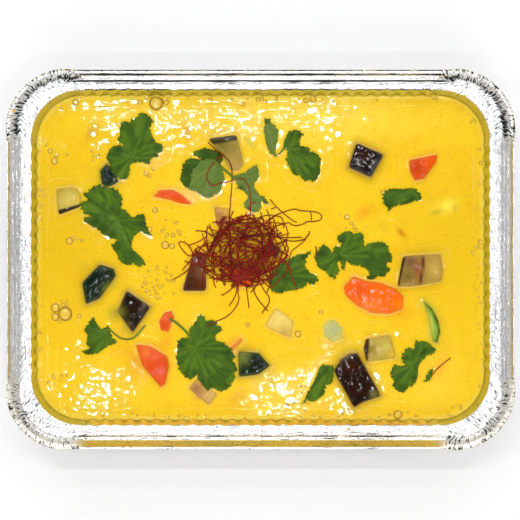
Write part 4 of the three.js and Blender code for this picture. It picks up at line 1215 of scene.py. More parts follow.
CHUNKS = (
    Chunk(
        "aubergine_far_left", Kind.AUBERGINE, 2.2, 8, (0.02, 0.05),
        ((-87.1, 30.2), (-79.3, 30.8), (-76.7, 27), (-77.1, 22.5), (-86.2, 19.1)),
        srgb(190, 166, 68),
        (Dab(68, 200, 9, srgb(214, 196, 98), 0.8), Dab(58, 190, 7, srgb(176, 146, 54), 0.6),
         Dab(78, 200, 5, SAUCE_FILM, 0.6)),
        skin=((-87.6, 19.4, -76.6, 22.4, 1.3),),
        glints=((78, 195, 4), (79, 205, 3)),
    ),
    Chunk(
        "aubergine_wedge", Kind.AUBERGINE, 3, 8, (0, 0.08),
        ((-22.3, 51.4), (-10.4, 53.1), (-8.3, 45.7), (-7.4, 40.6), (-9.6, 38), (-13, 38.5), (-16.4, 44.8)),
        srgb(158, 138, 62),
        (Dab(226, 147, 10, srgb(134, 118, 50), 0.7), Dab(233, 163, 9, srgb(188, 150, 76), 0.8),
         Dab(239, 168, 6, srgb(196, 156, 92), 0.6), Dab(220, 142, 7, srgb(82, 68, 30), 0.6)),
        skin=((-23, 50.2, -10, 52.6, 1.7),), skin_colour=srgb(62, 54, 26),
    ),
    Chunk(
        "aubergine_dark_cube", Kind.DARK_AUBERGINE, 3.2, 9, (0.04, -0.03),
        ((41, 49.7), (52.5, 44.6), (47, 35.1), (37.6, 39.4)),
        srgb(20, 13, 8),
        # The two grey dabs are painted sheen on the right and lower bevels.
        (Dab(364, 157, 7, srgb(50, 20, 4), 0.9), Dab(376, 166, 4, srgb(80, 80, 82), 0.5, 3, 62),
         Dab(360, 172, 3, srgb(80, 78, 78), 0.4, 3, -24)),
        edge=0.5,
        glints=((360, 171, 3), (354, 168, 3), (367, 175, 2.5), (376, 162, 2.5), (374, 169, 2.5),
                (371, 150, 2)),
    ),
    Chunk(
        "aubergine_by_nest", Kind.AUBERGINE, 0.8, 7, (0, 0),
        ((-19.8, 22.7), (-13, 21.9), (-13.4, 14.7), (-18.9, 14.7)),
        srgb(196, 148, 62),
        (Dab(219, 216, 6, srgb(168, 118, 66), 0.8), Dab(224, 209, 5, srgb(212, 168, 62), 0.7)),
        glints=((216, 214, 4), (224, 210, 3)),
    ),
    Chunk(
        "aubergine_brown", Kind.AUBERGINE, 2, 8, (0.05, -0.03),
        ((-28.7, 2.8), (-23.2, 2.8), (-23.2, -13.4), (-33.4, -13.4)),
        srgb(84, 40, 14),
        (Dab(186, 283, 8, srgb(62, 30, 20), 0.8), Dab(203, 272, 8, srgb(150, 100, 62), 0.6),
         Dab(196, 262, 6, srgb(120, 64, 34), 0.7)),
    ),
    Chunk(
        "aubergine_split", Kind.AUBERGINE, 3.2, 9, (0.02, 0.02),
        ((60.8, 1.5), (76.5, 2.3), (77.6, -4), (77.1, -9.1), (67.4, -11), (58.4, -11.6)),
        srgb(168, 136, 60),
        (Dab(410, 262, 9, srgb(120, 88, 56), 1), Dab(407, 277, 8, srgb(122, 100, 38), 1),
         Dab(434, 269, 9, srgb(200, 166, 78), 0.9, 1.4, 90),
         Dab(417, 269, 5, srgb(148, 84, 42), 0.9, 2.2, 88), Dab(422.5, 262, 2, srgb(92, 26, 18), 1, 4.5, 93),
         Dab(420.5, 278, 2, srgb(100, 32, 20), 1, 4.5, 82)),
        skin=((61, 2.0, 58.0, -12, 1.0),), skin_colour=srgb(44, 28, 18),
    ),
    Chunk(
        "aubergine_diamond", Kind.DARK_AUBERGINE, 2, 8, (0.08, 0),
        ((-57.2, -13.4), (-47, -20.2), (-54.6, -31.2), (-61, -22.3)),
        srgb(28, 18, 10),
        (Dab(137, 306, 7, srgb(42, 20, 8), 0.9), Dab(119, 312, 7, srgb(122, 116, 36), 0.9),
         # The grey dab is a painted streak of sheen on the skin.
         Dab(144, 306, 3, srgb(110, 100, 90), 0.5, 3, 60), Dab(128, 325, 5, srgb(96, 84, 32), 0.6)),
        edge=0.5,
        glints=((131, 316, 4), (132, 325, 3.5), (133, 296, 2), (140, 301, 2), (146, 305, 2)),
    ),
    Chunk(
        "aubergine_large", Kind.DARK_AUBERGINE, 3.4, 9, (-0.03, 0.02),
        ((31.2, -47.4), (34.5, -42.5), (38, -40.2), (41.2, -39.9), (51.4, -58.2), (43.1, -61), (39.9, -63.1)),
        srgb(34, 18, 8),
        # The grey dab is a painted highlight along the top edge.
        (Dab(350, 366, 7, srgb(66, 26, 6), 0.8), Dab(345, 356, 4, srgb(120, 112, 106), 0.5, 3, 25),
         Dab(374, 394, 5, srgb(112, 108, 50), 0.9), Dab(358, 390, 8, srgb(50, 22, 6), 0.7),
         Dab(360, 401, 5, srgb(26, 18, 16), 0.7)),
        edge=0.5,
        glints=((340, 381, 3), (346, 385, 3), (352, 380, 3), (358, 376, 3), (363, 374, 2.5), (340, 361, 2.5),
                (347, 356, 2.5), (355, 353, 2.5), (352, 371, 2), (371, 380, 2.5)),
    ),
    Chunk(
        "aubergine_pale", Kind.AUBERGINE, 2.3, 8, (-0.06, 0.02),
        ((45.1, -33.8), (55.4, -32.1), (57.8, -41.9), (45.3, -43.6), (44, -38)),
        srgb(186, 160, 66),
        (Dab(370, 349, 7, srgb(150, 118, 46), 0.8), Dab(385, 346, 8, srgb(206, 184, 78), 0.8),
         Dab(392, 354, 6, SAUCE_FILM, 0.6)),
        skin=((45.2, -33.6, 44.6, -43.8, 1.2),), skin_colour=srgb(60, 40, 20),
        glints=((385, 352, 4), (390, 345, 3), (380, 340, 3)),
    ),
    Chunk(
        "aubergine_under_leaf", Kind.AUBERGINE, 1.2, 8, (0, -0.03),
        ((-27, -50.6), (-18.5, -57.6), (-22, -62.3), (-30.8, -55)),
        srgb(196, 150, 74),
        (Dab(197, 390, 6, srgb(158, 104, 62), 0.8), Dab(210, 396, 6, srgb(214, 178, 96), 0.8)),
    ),
    Chunk(
        "aubergine_middle", Kind.AUBERGINE, 1.5, 8, (-0.02, -0.06),
        ((6.6, -20.6), (14.2, -26.6), (12.5, -33.4), (1.9, -28.3)),
        srgb(226, 196, 92),
        (Dab(285, 333, 6, srgb(186, 140, 66), 0.7), Dab(280, 318, 7, srgb(238, 214, 118), 0.8)),
        glints=((278, 326, 3), (290, 322, 3)),
    ),
    Chunk(
        "zucchini_left", Kind.ZUCCHINI, 2, 7, (0, -0.04),
        ((-68.8, -2), (-62.7, -4), (-61.8, -7), (-68.8, -16.7), (-74.6, -19.1), (-76.3, -10)),
        srgb(18, 34, 20),
        (Dab(92, 276, 8, srgb(14, 28, 20), 0.8), Dab(108, 288, 6, srgb(96, 110, 30), 0.8),
         Dab(102, 270, 4, srgb(70, 88, 70), 0.5)),
        edge=1.2,
        glints=((95, 293, 4), (102, 287, 4), (108, 280, 4), (88, 299, 3), (100, 268, 3), (84, 278, 2)),
    ),
    Chunk(
        "zucchini_under_leaf", Kind.ZUCCHINI, 1.2, 7, (0, 0),
        ((-68.6, 38), (-65.7, 41), (-62.7, 37.6), (-60.6, 33.4), (-64.4, 31.2), (-67.8, 32.1)),
        srgb(12, 38, 22),
        (Dab(108, 176, 6, srgb(6, 26, 18), 0.8),),
        edge=0.5,
        glints=((104, 176, 5), (110, 182, 4), (103, 170, 3)),
    ),
    Chunk(
        "zucchini_lower", Kind.ZUCCHINI, 2.2, 7, (-0.03, -0.04),
        ((-9.6, -39.3), (-0.8, -39.9), (4, -45.3), (-0.8, -49.1), (-9.1, -50.1)),
        srgb(18, 36, 14),
        (Dab(243, 358, 7, srgb(128, 144, 52), 0.7), Dab(258, 370, 9, srgb(14, 28, 16), 0.8)),
        edge=1.1,
        glints=((250, 357, 3), (263, 362, 3), (243, 372, 3)),
    ),
    Chunk(
        "zucchini_rim", Kind.ZUCCHINI, 2, 8, (0.08, 0),
        ((69.5, -17.6), (73.3, -21), (75.9, -26.1), (76.7, -30.8), (75.4, -35.5), (73.7, -35.1), (72.9, -30),
         (72, -24.9), (70.8, -20.6)),
        srgb(112, 152, 36),
        (Dab(427, 316, 4, srgb(206, 214, 96), 0.9, 4, 115), Dab(430, 330, 4, srgb(202, 206, 70), 0.9, 3, 100),
         Dab(430, 306, 2.4, srgb(20, 44, 18), 1, 3.5, 128),
         Dab(436.5, 318, 2.4, srgb(18, 42, 16), 1, 3.5, 110),
         Dab(440, 331, 2.4, srgb(18, 42, 16), 1, 3.5, 92),
         Dab(437.5, 341, 2.4, srgb(40, 72, 20), 1, 2.5, 70)),
        skin=((70.2, -17.0, 74.0, -20.7, 0.8), (74.0, -20.7, 76.6, -26, 0.8), (76.6, -26, 77.4, -31, 0.8),
              (77.4, -31, 75.8, -36, 0.8)),
        skin_colour=srgb(26, 48, 22),
    ),
    Chunk(
        "zucchini_in_nest", Kind.ZUCCHINI, 1.4, 7, (0, 0),
        ((3.2, 5.7), (6.6, 6.2), (8.7, 3.6), (6.6, 0.6), (3.2, 2.3)),
        srgb(14, 34, 20),
        edge=0.5,
    ),
    Chunk(
        "zucchini_disc", Kind.ZUCCHINI_FLESH, 0.8, 7, (0, 0),
        ((28.3, -26.1), (32.1, -25.7), (35.1, -29.1), (35.5, -33.4), (30.8, -35.5), (27, -32.5),
         (26.6, -28.7)),
        srgb(196, 190, 108),
        (Dab(333, 330, 7, srgb(176, 180, 128), 0.8), Dab(326, 324, 4, srgb(208, 200, 110), 0.6),
         Dab(342, 336, 5, srgb(208, 190, 80), 0.7)),
        glints=((330, 326, 3),),
    ),
    Chunk(
        "carrot_crescent", Kind.CARROT, 1.5, 6, (0, 0.08),
        ((-45.7, 27), (-43.1, 29.5), (-37.6, 29.8), (-33.8, 27.8), (-29.1, 23.6), (-34.2, 24), (-39.3, 25.7)),
        srgb(228, 78, 4),
        (Dab(170, 198, 5, srgb(236, 100, 12), 0.6), Dab(156, 195, 4, srgb(236, 130, 30), 0.5)),
        edge=0.6,
    ),
    Chunk(
        "carrot_upper_right", Kind.CARROT, 2.4, 6, (0.04, 0.04),
        ((63.5, 42.3), (75.4, 44.8), (75, 41.9), (69.9, 34.6), (66, 33.8), (64, 37.6)),
        srgb(222, 80, 4),
        # Painted shading: the left part darker, the right facet lighter.
        (Dab(417, 168, 8, srgb(198, 66, 2), 0.8), Dab(430, 163, 8, srgb(236, 92, 4), 0.8)),
    ),
    Chunk(
        "carrot_large", Kind.CARROT, 2.2, 3, (0, 0.04),
        ((35.5, -11.7), (39.7, -7.2), (44.8, -9.1), (51.2, -10), (57.6, -12.5), (61, -15.9), (60.6, -21),
         (55, -23.2), (47.4, -22.7), (41.4, -19.8), (36.3, -15.1)),
        srgb(244, 100, 2),
        (Dab(360, 290, 10, srgb(228, 84, 2), 0.7), Dab(380, 295, 11, srgb(252, 112, 2), 0.8),
         Dab(398, 304, 8, srgb(248, 128, 8), 0.8), Dab(372, 306, 6, srgb(248, 146, 40), 0.5, 2.4, -12)),
    ),
    Chunk(
        "carrot_lower_left", Kind.CARROT, 2.6, 5, (0.05, 0),
        ((-53.1, -36.2), (-47.4, -36.9), (-39.9, -41.3), (-39, -45.3), (-40.6, -52.9), (-42.4, -54.5),
         (-50.4, -45.3)),
        srgb(228, 84, 2),
        (Dab(146, 352, 6, srgb(240, 128, 34), 0.7), Dab(158, 368, 8, srgb(218, 74, 2), 0.8)),
        glints=((141, 350, 3), (160, 380, 3)),
    ),
    Chunk(
        "carrot_half_sunk", Kind.CARROT, 1, 5, (0, 0.06),
        ((-43.6, -26.6), (-41, -22.7), (-38, -21.9), (-36.8, -24.9), (-39.3, -31.2), (-42.7, -30.4)),
        srgb(228, 92, 6),
        (Dab(164, 326, 5, srgb(214, 66, 2), 0.8), Dab(164, 336, 5, srgb(240, 156, 34), 0.8)),
        glints=((168, 314, 3), (163, 321, 3)),
    ),
    Chunk(
        "carrot_in_nest", Kind.CARROT, 1.8, 5, (0, 0),
        ((-12.5, -4.9), (-7, -4), (-2.8, -6.2), (-3.6, -10.8), (-8.7, -11.7), (-12.5, -8.7)),
        srgb(216, 80, 4),
        (Dab(241, 276, 5, srgb(236, 118, 30), 0.7),),
    ),
    Chunk(
        "carrot_sliver", Kind.CARROT, 0.7, 4, (0, 0),
        ((-13.2, -37.4), (-8.5, -33.2), (-7.2, -34.8), (-11.9, -39)),
        srgb(226, 132, 30),
        edge=0.4,
    ),
)


class Side(Enum):
    """Which face of a leaf shows; the value is how pale it is."""

    UPPER = 0.0
    UNDER = 1.0


@dataclass(frozen=True)
class Blade:
    """One blade of a coriander leaf, placed in the camera's picture."""

    outline: Plan
    base: tuple[float, float]  # where its veins meet
    side: Side = Side.UPPER
    lift: float = 0.0  # height over what it lies on, beyond a leaf's own
    dark: tuple[Spot, ...] = ()
    wet: tuple[Spot, ...] = ()

    def corners(self) -> Array:
        """Outline on the part, against the clock."""
        return counterclockwise(VIEW.places(self.outline))


@dataclass(frozen=True)
class Sprig:
    """Blades and the stalk that joins or ends them."""

    node: str
    blades: tuple[Blade, ...]
    stalk: Plan = ()
    wave: float = 0.0
    stem: float = 0.5  # radius of the stalk


SPRIGS = (
    Sprig("coriander_upper_left", (Blade((
        (142, 112.5), (146, 114), (149, 116), (151, 119), (153, 121), (150, 125), (149.5, 128), (151, 133),
        (152.5, 137), (155, 141), (158, 143.5), (161, 143.5), (163, 147), (161.5, 150), (162.5, 152),
        (158, 152), (156.5, 153), (159, 156.5), (155, 156.5), (151, 158.5), (149.5, 160), (150, 163),
        (148, 164), (144, 162.5), (138, 161.5), (133, 162.5), (130, 164), (129.5, 168), (129, 174),
        (127, 178), (124, 179.5), (121, 179), (118, 177.5), (114, 174), (112, 170), (110, 166), (109, 163),
        (108.5, 161), (106, 157.5), (107, 154), (109, 152), (108, 150.5), (110, 148.5), (113, 146),
        (117, 145.5), (120, 145), (124, 145.5), (121, 143), (119.5, 143), (117.5, 140), (118.5, 136),
        (120, 134.5), (119.5, 131), (119.5, 128), (121, 125), (120.5, 122.5), (124, 121), (127, 121.5),
        (129.5, 123), (130.5, 120), (133, 118), (137, 117), (139, 113.5)), (131, 157),
        dark=((118, 150, 5), (157, 147, 5), (122, 127, 4)), wet=((104, 176, 5),)),), wave=0.3),
    Sprig("coriander_left", (Blade((
        (98, 184), (100, 185), (102, 187), (104.5, 185), (107, 186.5), (108.5, 188), (113, 188), (115, 190),
        (117.5, 189.5), (118.5, 193), (120.5, 195), (121.5, 199), (121.5, 203), (120.5, 207), (120, 209),
        (124, 209.5), (127, 212), (130, 216), (132, 217.5), (135, 217), (137, 215), (140, 214),
        (143.5, 214.5), (145, 218), (145, 223), (147, 227), (148, 231), (151.5, 235.5), (147, 234.5),
        (142, 232), (140, 231), (137, 233), (133.5, 236), (131.5, 240), (131, 246), (132, 249.5), (135, 252),
        (139, 255.5), (142, 258.5), (144, 262), (145, 264.5), (142.5, 265), (139, 266.5), (136, 265),
        (134, 264), (132, 262.5), (130.5, 265), (127.5, 265), (124, 264), (121, 262), (118, 258.5),
        (117, 254), (115, 251), (112, 247.5), (111.5, 245), (115, 242), (118, 240), (114, 238.5),
        (110, 238), (106, 235.5), (103, 234.5), (100, 232), (100, 230.5), (96, 228.5), (91, 225.5),
        (87, 222.5), (83.5, 221), (83, 218.5), (87, 217), (92, 216), (89, 215), (85, 214), (82, 212),
        (85, 210.5), (82, 209.5), (80, 208.5), (81, 206), (79.5, 205), (82, 202), (86, 201), (88, 199.5),
        (85, 196.5), (83, 194), (84, 192.5), (88, 192.5), (89, 189.5), (93, 187), (95, 185.5), (95.5, 188)),
        (117, 219), dark=((112, 209, 5), (118, 213, 4), (103, 227, 7), (112, 234, 6), (143, 224, 6),
                          (96, 221, 5), (104, 204, 3)),
        wet=((96, 214, 3), (104, 217, 3), (112, 222, 4), (120, 229, 4), (128, 233, 3), (124, 239, 3))),),
        wave=1.4),
    Sprig("coriander_pair", (
        Blade((
            (193, 152), (196, 150.5), (199, 150), (201, 149), (204.5, 147.5), (208, 148.5), (212, 149.5),
            (217, 151), (221, 153), (222.5, 155.5), (222, 160), (220, 164), (214, 172), (205, 182),
            (196, 188), (188, 187.5), (185, 187), (183, 184), (181, 182), (180, 178.5), (181, 175),
            (182, 172), (182, 168), (182.5, 165), (185, 162), (186, 160), (189, 158.5), (192, 158),
            (196, 159), (202, 159.5), (201, 158), (198, 157.5), (196.5, 156), (193.5, 154.5)), (218, 162),
            dark=((208, 153, 9), (186, 172, 9), (187, 182, 7), (219, 157, 5))),
        Blade((
            (233, 176), (240, 174), (246, 172), (249, 169), (253, 166.5), (257, 165), (258, 168),
            (258.5, 173), (259, 177), (256.5, 180), (254, 183), (254, 187), (256, 190), (258, 193),
            (261, 196), (264, 197), (266, 200), (269.5, 204.5), (266, 203.5), (262, 201), (260.5, 200.5),
            (261, 204), (261, 208), (258.5, 211), (255, 212.5), (252, 211.5), (250, 209), (248, 210),
            (246, 208), (243.5, 204), (246, 201), (248, 198), (247.5, 195), (244, 191), (240, 189),
            (237, 188), (238, 185), (236, 182), (234, 179.5)), (235, 178), Side.UNDER,
            dark=((266, 201, 5), (241, 188, 4))),
        Blade((
            (200, 160), (203.5, 160.5), (206, 159), (209, 158.5), (213, 160), (216, 160.5), (219.5, 163),
            (221, 168), (223.5, 174), (224.5, 179), (223, 183), (221, 188), (219.5, 191), (216, 193.5),
            (213, 195), (210, 197.5), (206, 197), (203, 196), (199, 193.5), (196, 190.5), (193, 190.5),
            (190, 189.5), (188, 187.5), (190, 185), (190, 181), (191.5, 179), (190.5, 175), (192, 172.5),
            (193.5, 169), (197, 166), (199, 163)), (217.5, 163.5), Side.UNDER, 0.4),
    ), ((213, 160), (219, 165), (226, 171), (233, 177), (238, 180)), 2.2),
    Sprig("coriander_hooked", (
        Blade((
            (265, 118), (268, 118.5), (270.5, 119), (270.5, 123), (274, 124), (276, 127), (278, 129),
            (278, 134), (277.5, 140), (276, 146), (275, 151), (276, 155), (274, 155.5), (271, 153.5),
            (269, 150), (267, 145), (265.5, 140), (265, 135), (264, 130), (265, 126), (265, 121)),
            (275, 154.5), Side.UNDER, dark=((266, 121, 3.5),)),
        Blade((
            (289, 131), (292, 131), (294, 129.5), (297, 130), (301, 131.5), (302, 133.5), (303.5, 134),
            (301, 136.5), (300, 139), (299.5, 143), (300.5, 146), (304, 146.5), (308, 147), (310.5, 149),
            (309, 150.5), (306, 150.5), (310, 151.5), (314, 152), (317, 154), (319.5, 156.5), (320.5, 159),
            (321, 162), (319.5, 165), (320, 168), (320.5, 171), (319.5, 174), (318, 177), (316, 180),
            (313, 181.5), (311, 180.5), (309.5, 178.5), (307.5, 181), (304, 180), (301.5, 177.5),
            (300, 174.5), (296, 175.5), (293, 173), (291, 170), (289.5, 166.5), (287.5, 163), (286, 159.5),
            (287.5, 156), (288, 152), (287, 148), (285, 148), (283, 149), (284, 142), (286, 137)),
            (289, 148), dark=((303, 148, 4), (300, 134, 4), (307, 165, 1.5))),
    ), ((274, 154.5), (277, 155.5), (280, 153), (283, 149.5), (287, 147)), 0.8, 0.36),
    Sprig("coriander_upper_right", (Blade((
        (383, 194), (386, 190.5), (390, 189), (395, 188.5), (400, 189), (405, 189), (408, 188.5), (412, 188),
        (416, 189), (418, 191), (420.5, 193.5), (421.5, 196), (421.5, 199), (419, 200.5), (415, 200.5),
        (412, 202), (407, 203.5), (402, 204.5), (397, 205), (393, 207), (391, 209), (390, 211),
        (388, 209.5), (388, 207), (385, 204.5), (383, 203), (384.5, 201), (382.5, 198), (384, 196.5)),
        (417, 194), dark=((412, 198, 5), (388, 205, 4))),), wave=3.1),
    Sprig("coriander_right", (
        Blade((
            (341, 262), (341.5, 266), (343, 270), (344.5, 270), (345, 266), (346, 262.5), (347, 260.5),
            (349, 262.5), (351, 264.5), (354, 265), (357, 265.5), (361, 265.5), (364, 267.5), (367, 269),
            (369.5, 271.5), (370, 275), (367.5, 277), (368, 279), (371.5, 279.5), (374, 279), (376, 277.5),
            (378, 276), (381, 276), (384, 277), (386, 274.5), (387, 271.5), (389.5, 271.5), (390.5, 269.5),
            (388, 267), (386.5, 264), (388, 262), (391, 262.5), (392.5, 261), (391.5, 258.5), (393, 257),
            (391.5, 255), (391, 253), (389, 252), (389.5, 250.5), (388, 248.5), (388.5, 246.5),
            (386.5, 245.5), (386.5, 243.5), (384, 243.5), (382.5, 242), (380, 242.5), (378, 241.5),
            (375.5, 243), (373, 242), (371, 243.5), (368, 243.5), (366, 246), (364.5, 248.5), (364.5, 244),
            (363.5, 240), (363.5, 236), (362, 233), (359, 232.5), (356.5, 233), (354.5, 234.5),
            (352.5, 232.5), (350, 231), (347, 231.5), (344, 232), (341.5, 234.5), (338.5, 235.5),
            (337.5, 238), (338.5, 241), (341, 243), (342.5, 244.5), (341, 247), (338, 247), (336, 246),
            (334, 248), (333.5, 252), (336, 256), (339, 259)), (340, 255),
            dark=((373, 257, 5), (383, 257, 5), (367, 264, 5), (341, 241, 3), (388, 256, 4))),
        Blade((
            (332, 253), (331, 250.5), (329.5, 248.5), (326.5, 246.5), (324.5, 244.5), (322, 246.5),
            (320, 247), (320, 249), (318, 251), (316.5, 253.5), (316, 256), (316, 259), (315.5, 261),
            (317.5, 262.5), (317, 265.5), (319.5, 267.5), (320.5, 269), (323, 269.5), (326, 271.5),
            (328, 274), (329.5, 276.5), (332, 277), (334, 279), (336, 277.5), (336, 275.5), (338, 274),
            (337.5, 272.5), (340, 271.5), (339, 269), (338, 266.5), (337, 263.5), (338.5, 261), (341, 260),
            (341, 256), (338, 252), (334, 252)), (338, 256), dark=((322, 254, 5), (338, 258, 4))),
    ), wave=0.4),
    Sprig("coriander_by_nest", (Blade((
        (311, 250.5), (310.5, 253), (308, 255.5), (306, 258), (306, 262), (304.5, 265.5), (306, 268),
        (308.5, 271), (310.5, 273.5), (314, 274.5), (317, 276.5), (318.5, 280), (316.5, 282), (314, 284),
        (310.5, 284), (307.5, 282), (306, 285), (304.5, 287), (300, 288.5), (295, 290), (290, 290.5),
        (286, 291), (282, 293), (277, 292.5), (273, 291.5), (271, 289), (271, 285), (268.5, 282),
        (268, 278), (271, 275), (275, 270), (279, 265), (283, 261), (287, 259.5), (291, 258.5), (295, 256),
        (298, 254.5), (301, 253.5), (303, 254.5), (306, 253.5), (308.5, 252)), (281, 275),
        dark=((275, 268, 7), (284, 276, 7), (305, 257, 4), (281, 290, 5)), wet=((272, 250, 3),)),), wave=1.9),
    Sprig("coriander_lower_left", (Blade((
        (92.5, 317.5), (94.5, 320), (96, 323), (98, 326), (100.5, 329), (103, 329), (105.5, 327.5),
        (107.5, 326), (109, 328), (110, 331), (110.5, 335), (113, 339), (116, 340.5), (116, 343),
        (112, 344.5), (108.5, 345.5), (105, 348), (101.5, 350), (99, 352.5), (94, 354), (89, 354.5),
        (84, 353.5), (82, 351.5), (85, 350.5), (88, 350), (90, 347), (86.5, 345.5), (86, 342), (87.5, 338),
        (87, 334), (84, 331), (85, 328.5), (85.5, 326), (88, 325.5), (88.5, 322), (90.5, 321), (91.5, 319)),
        (107, 333), dark=((88, 352, 5), (90, 323, 3))),),
        ((105, 333), (107.5, 330), (111, 331), (115, 334.5), (120, 338), (126, 339.5), (132, 338.5),
         (137, 335), (141, 330), (145, 325.5)), 2.7, 0.36),
    Sprig("coriander_large", (Blade((
        (200.5, 314.5), (202, 317), (204, 316), (205, 319), (207, 321.5), (209.5, 320.5), (212, 320),
        (214, 321.5), (216.5, 322.5), (217, 325.5), (220.5, 327), (222, 329.5), (220, 332), (216.5, 334),
        (215, 338), (216, 341), (220, 342), (224, 343), (226.5, 345.5), (227.5, 347), (231, 348),
        (232.5, 350.5), (231, 352), (234, 354.5), (235.5, 357), (233, 359), (232, 361.5), (235, 363.5),
        (235.5, 366), (237, 369), (236, 372), (233, 373.5), (235, 376), (235, 379.5), (232.5, 381),
        (231.5, 383), (231, 386), (228, 388), (226.5, 390), (223, 390.5), (221, 392), (218, 391),
        (216, 389.5), (213.5, 388), (211, 388.5), (208.5, 390), (205.5, 389.5), (204.5, 387), (202, 385.5),
        (201.5, 383), (199, 381), (197, 377), (197.5, 373.5), (195.5, 376), (192.5, 378.5), (189, 379.5),
        (187, 378), (184.5, 377), (183.5, 374.5), (181.5, 373), (180, 370.5), (178, 368.5), (179, 366),
        (176.5, 363.5), (177.5, 361), (175.5, 358), (177, 355), (176.5, 352), (178, 349.5), (177, 346.5),
        (178, 344), (177.5, 341.5), (180, 339), (183, 338.5), (186, 337.5), (189.5, 338), (190, 335),
        (188.5, 331.5), (190, 328.5), (191, 326.5), (193, 326), (194.5, 323), (197, 320), (198, 317)),
        (195, 348), dark=((228, 352, 5), (205, 357, 2.5), (212, 325, 5), (180, 345, 4))),),
        ((169, 319), (175, 322), (181, 327), (187, 333), (192, 341)), 1.1),
    Sprig("coriander_folded", (Blade((
        (333, 366), (330, 366.5), (327, 365.5), (324, 365), (321, 366.5), (319, 370), (317, 375), (315, 380),
        (312, 386), (309, 391), (307, 395), (305.5, 399), (303, 404), (306, 400.5), (308, 400),
        (310, 402), (313, 401.5), (316, 401.5), (317.5, 399), (320, 398), (322, 396), (324, 394.5),
        (325, 391.5), (324.5, 389.5), (326, 388), (325, 386), (327, 385), (330, 384.5), (332, 382.5),
        (333, 380), (333.5, 375), (334, 370)), (331, 367), dark=((326, 371, 4), (308, 396, 4))),), wave=0.2),
    Sprig("coriander_lower_right", (Blade((
        (411, 348.5), (413.5, 349), (415, 350.5), (415, 347), (416, 343), (416, 340.5), (418, 341.5),
        (421, 341.5), (425, 341.5), (428, 342.5), (430, 344), (432, 346), (434.5, 348), (436, 350.5),
        (434.5, 353), (432, 354.5), (428, 355), (425.5, 357.5), (423, 360), (420, 363.5), (418.5, 367),
        (418, 371), (418, 376), (417, 380), (414.5, 384), (412, 386), (409, 387), (406.5, 390),
        (403.5, 393), (401, 392), (399, 391.5), (396, 390), (394.5, 387.5), (392.5, 385.5), (394, 383.5),
        (395, 381), (393, 379), (391, 377.5), (393, 376), (390.5, 374), (391.5, 371.5), (393.5, 368.5),
        (393, 366.5), (395, 365), (398, 366), (401, 366.5), (404, 366), (405.5, 366.5), (405, 364.5),
        (402.5, 362), (404, 360), (401.5, 358.5), (403.5, 356), (402.5, 353.5), (405, 352), (406, 349.5),
        (409, 348)), (413, 365), dark=((425, 352, 4), (401, 388, 5), (414, 378, 4), (407, 358, 3))),),
        wave=2.4),
    Sprig("coriander_scrap", (Blade((
        (434, 368), (433, 371), (433, 374), (431.5, 377), (430.5, 380), (428, 381), (425.5, 382),
        (424.5, 381.5), (426.5, 378), (427.5, 375), (429.5, 371.5), (432, 369.5)), (430, 372)),), wave=0.9),
)
BLADES = tuple(blade for sprig in SPRIGS for blade in sprig.blades)

# What lies under the surface and shows through it, with painted shade to the left and right and painted sheen
# far and near.
STAINS_SHADE_AND_SHEEN = tuple(
    Dab(px, py, reach, srgb(*colour), *more)
    for px, py, reach, colour, *more in (
        # Painted shade to the left and right.
        (52, 230, 75, (222, 182, 26), 0.75, 1.5, 90), (462, 240, 75, (228, 186, 26), 0.7, 1.5, 90),
        # Painted sheen far and near: this row and the next.
        (330, 118, 26, (252, 224, 84), 0.6, 4.0, 0), (130, 112, 20, (248, 212, 62), 0.4, 3.0, 0),
        (300, 385, 26, (253, 216, 66), 0.6, 4.5, 0), (440, 375, 26, (250, 212, 66), 0.5, 1.5, 90),
        (91, 132, 5, (196, 140, 44), 0.6, 1.8, 60), (95, 127, 6, (226, 176, 70), 0.5),
        (187, 132, 4, (198, 136, 34), 0.6, 3.0, 100), (250, 143, 2.5, (170, 180, 60), 0.7, 3.5, -58),
        (365, 212, 6, (232, 152, 34), 0.7, 1.6, 30), (402, 233, 3, (196, 96, 24), 0.8, 2.2, -50),
        (446, 206, 7, (255, 238, 84), 0.9, 1.7, 15), (437, 212, 3, (196, 168, 44), 0.8, 2.4, 20),
        (456, 208, 3, (204, 176, 62), 0.7, 1.6, 100), (134, 362, 8, (240, 158, 30), 0.7, 2.0, -60),
        (120, 350, 7, (240, 176, 34), 0.5, 1.6, 20), (165, 342, 7, (240, 160, 34), 0.7),
        (114, 314, 8, (176, 164, 40), 0.8), (126, 330, 7, (188, 170, 40), 0.6),
        (84, 268, 6, (196, 182, 44), 0.6), (112, 284, 6, (202, 186, 44), 0.5),
        (400, 312, 9, (246, 166, 34), 0.6, 1.8, -20), (432, 310, 5, (214, 204, 60), 0.6, 1.6, -60),
        (400, 360, 6, (204, 178, 52), 0.6), (216, 208, 6, (212, 164, 44), 0.7),
        (232, 342, 5, (232, 156, 36), 0.6, 1.6, 40), (246, 350, 5, (176, 174, 52), 0.6),
        (272, 380, 6, (196, 180, 52), 0.6), (292, 336, 7, (226, 188, 76), 0.6),
        (342, 340, 7, (210, 188, 70), 0.6), (198, 396, 6, (206, 150, 60), 0.7),
        (236, 398, 7, (236, 160, 40), 0.6, 1.6, 50), (440, 368, 6, (240, 156, 60), 0.5, 2.0, 60),
        (368, 232, 6, (214, 196, 48), 0.4), (384, 226, 6, (208, 190, 52), 0.4),
    )
)

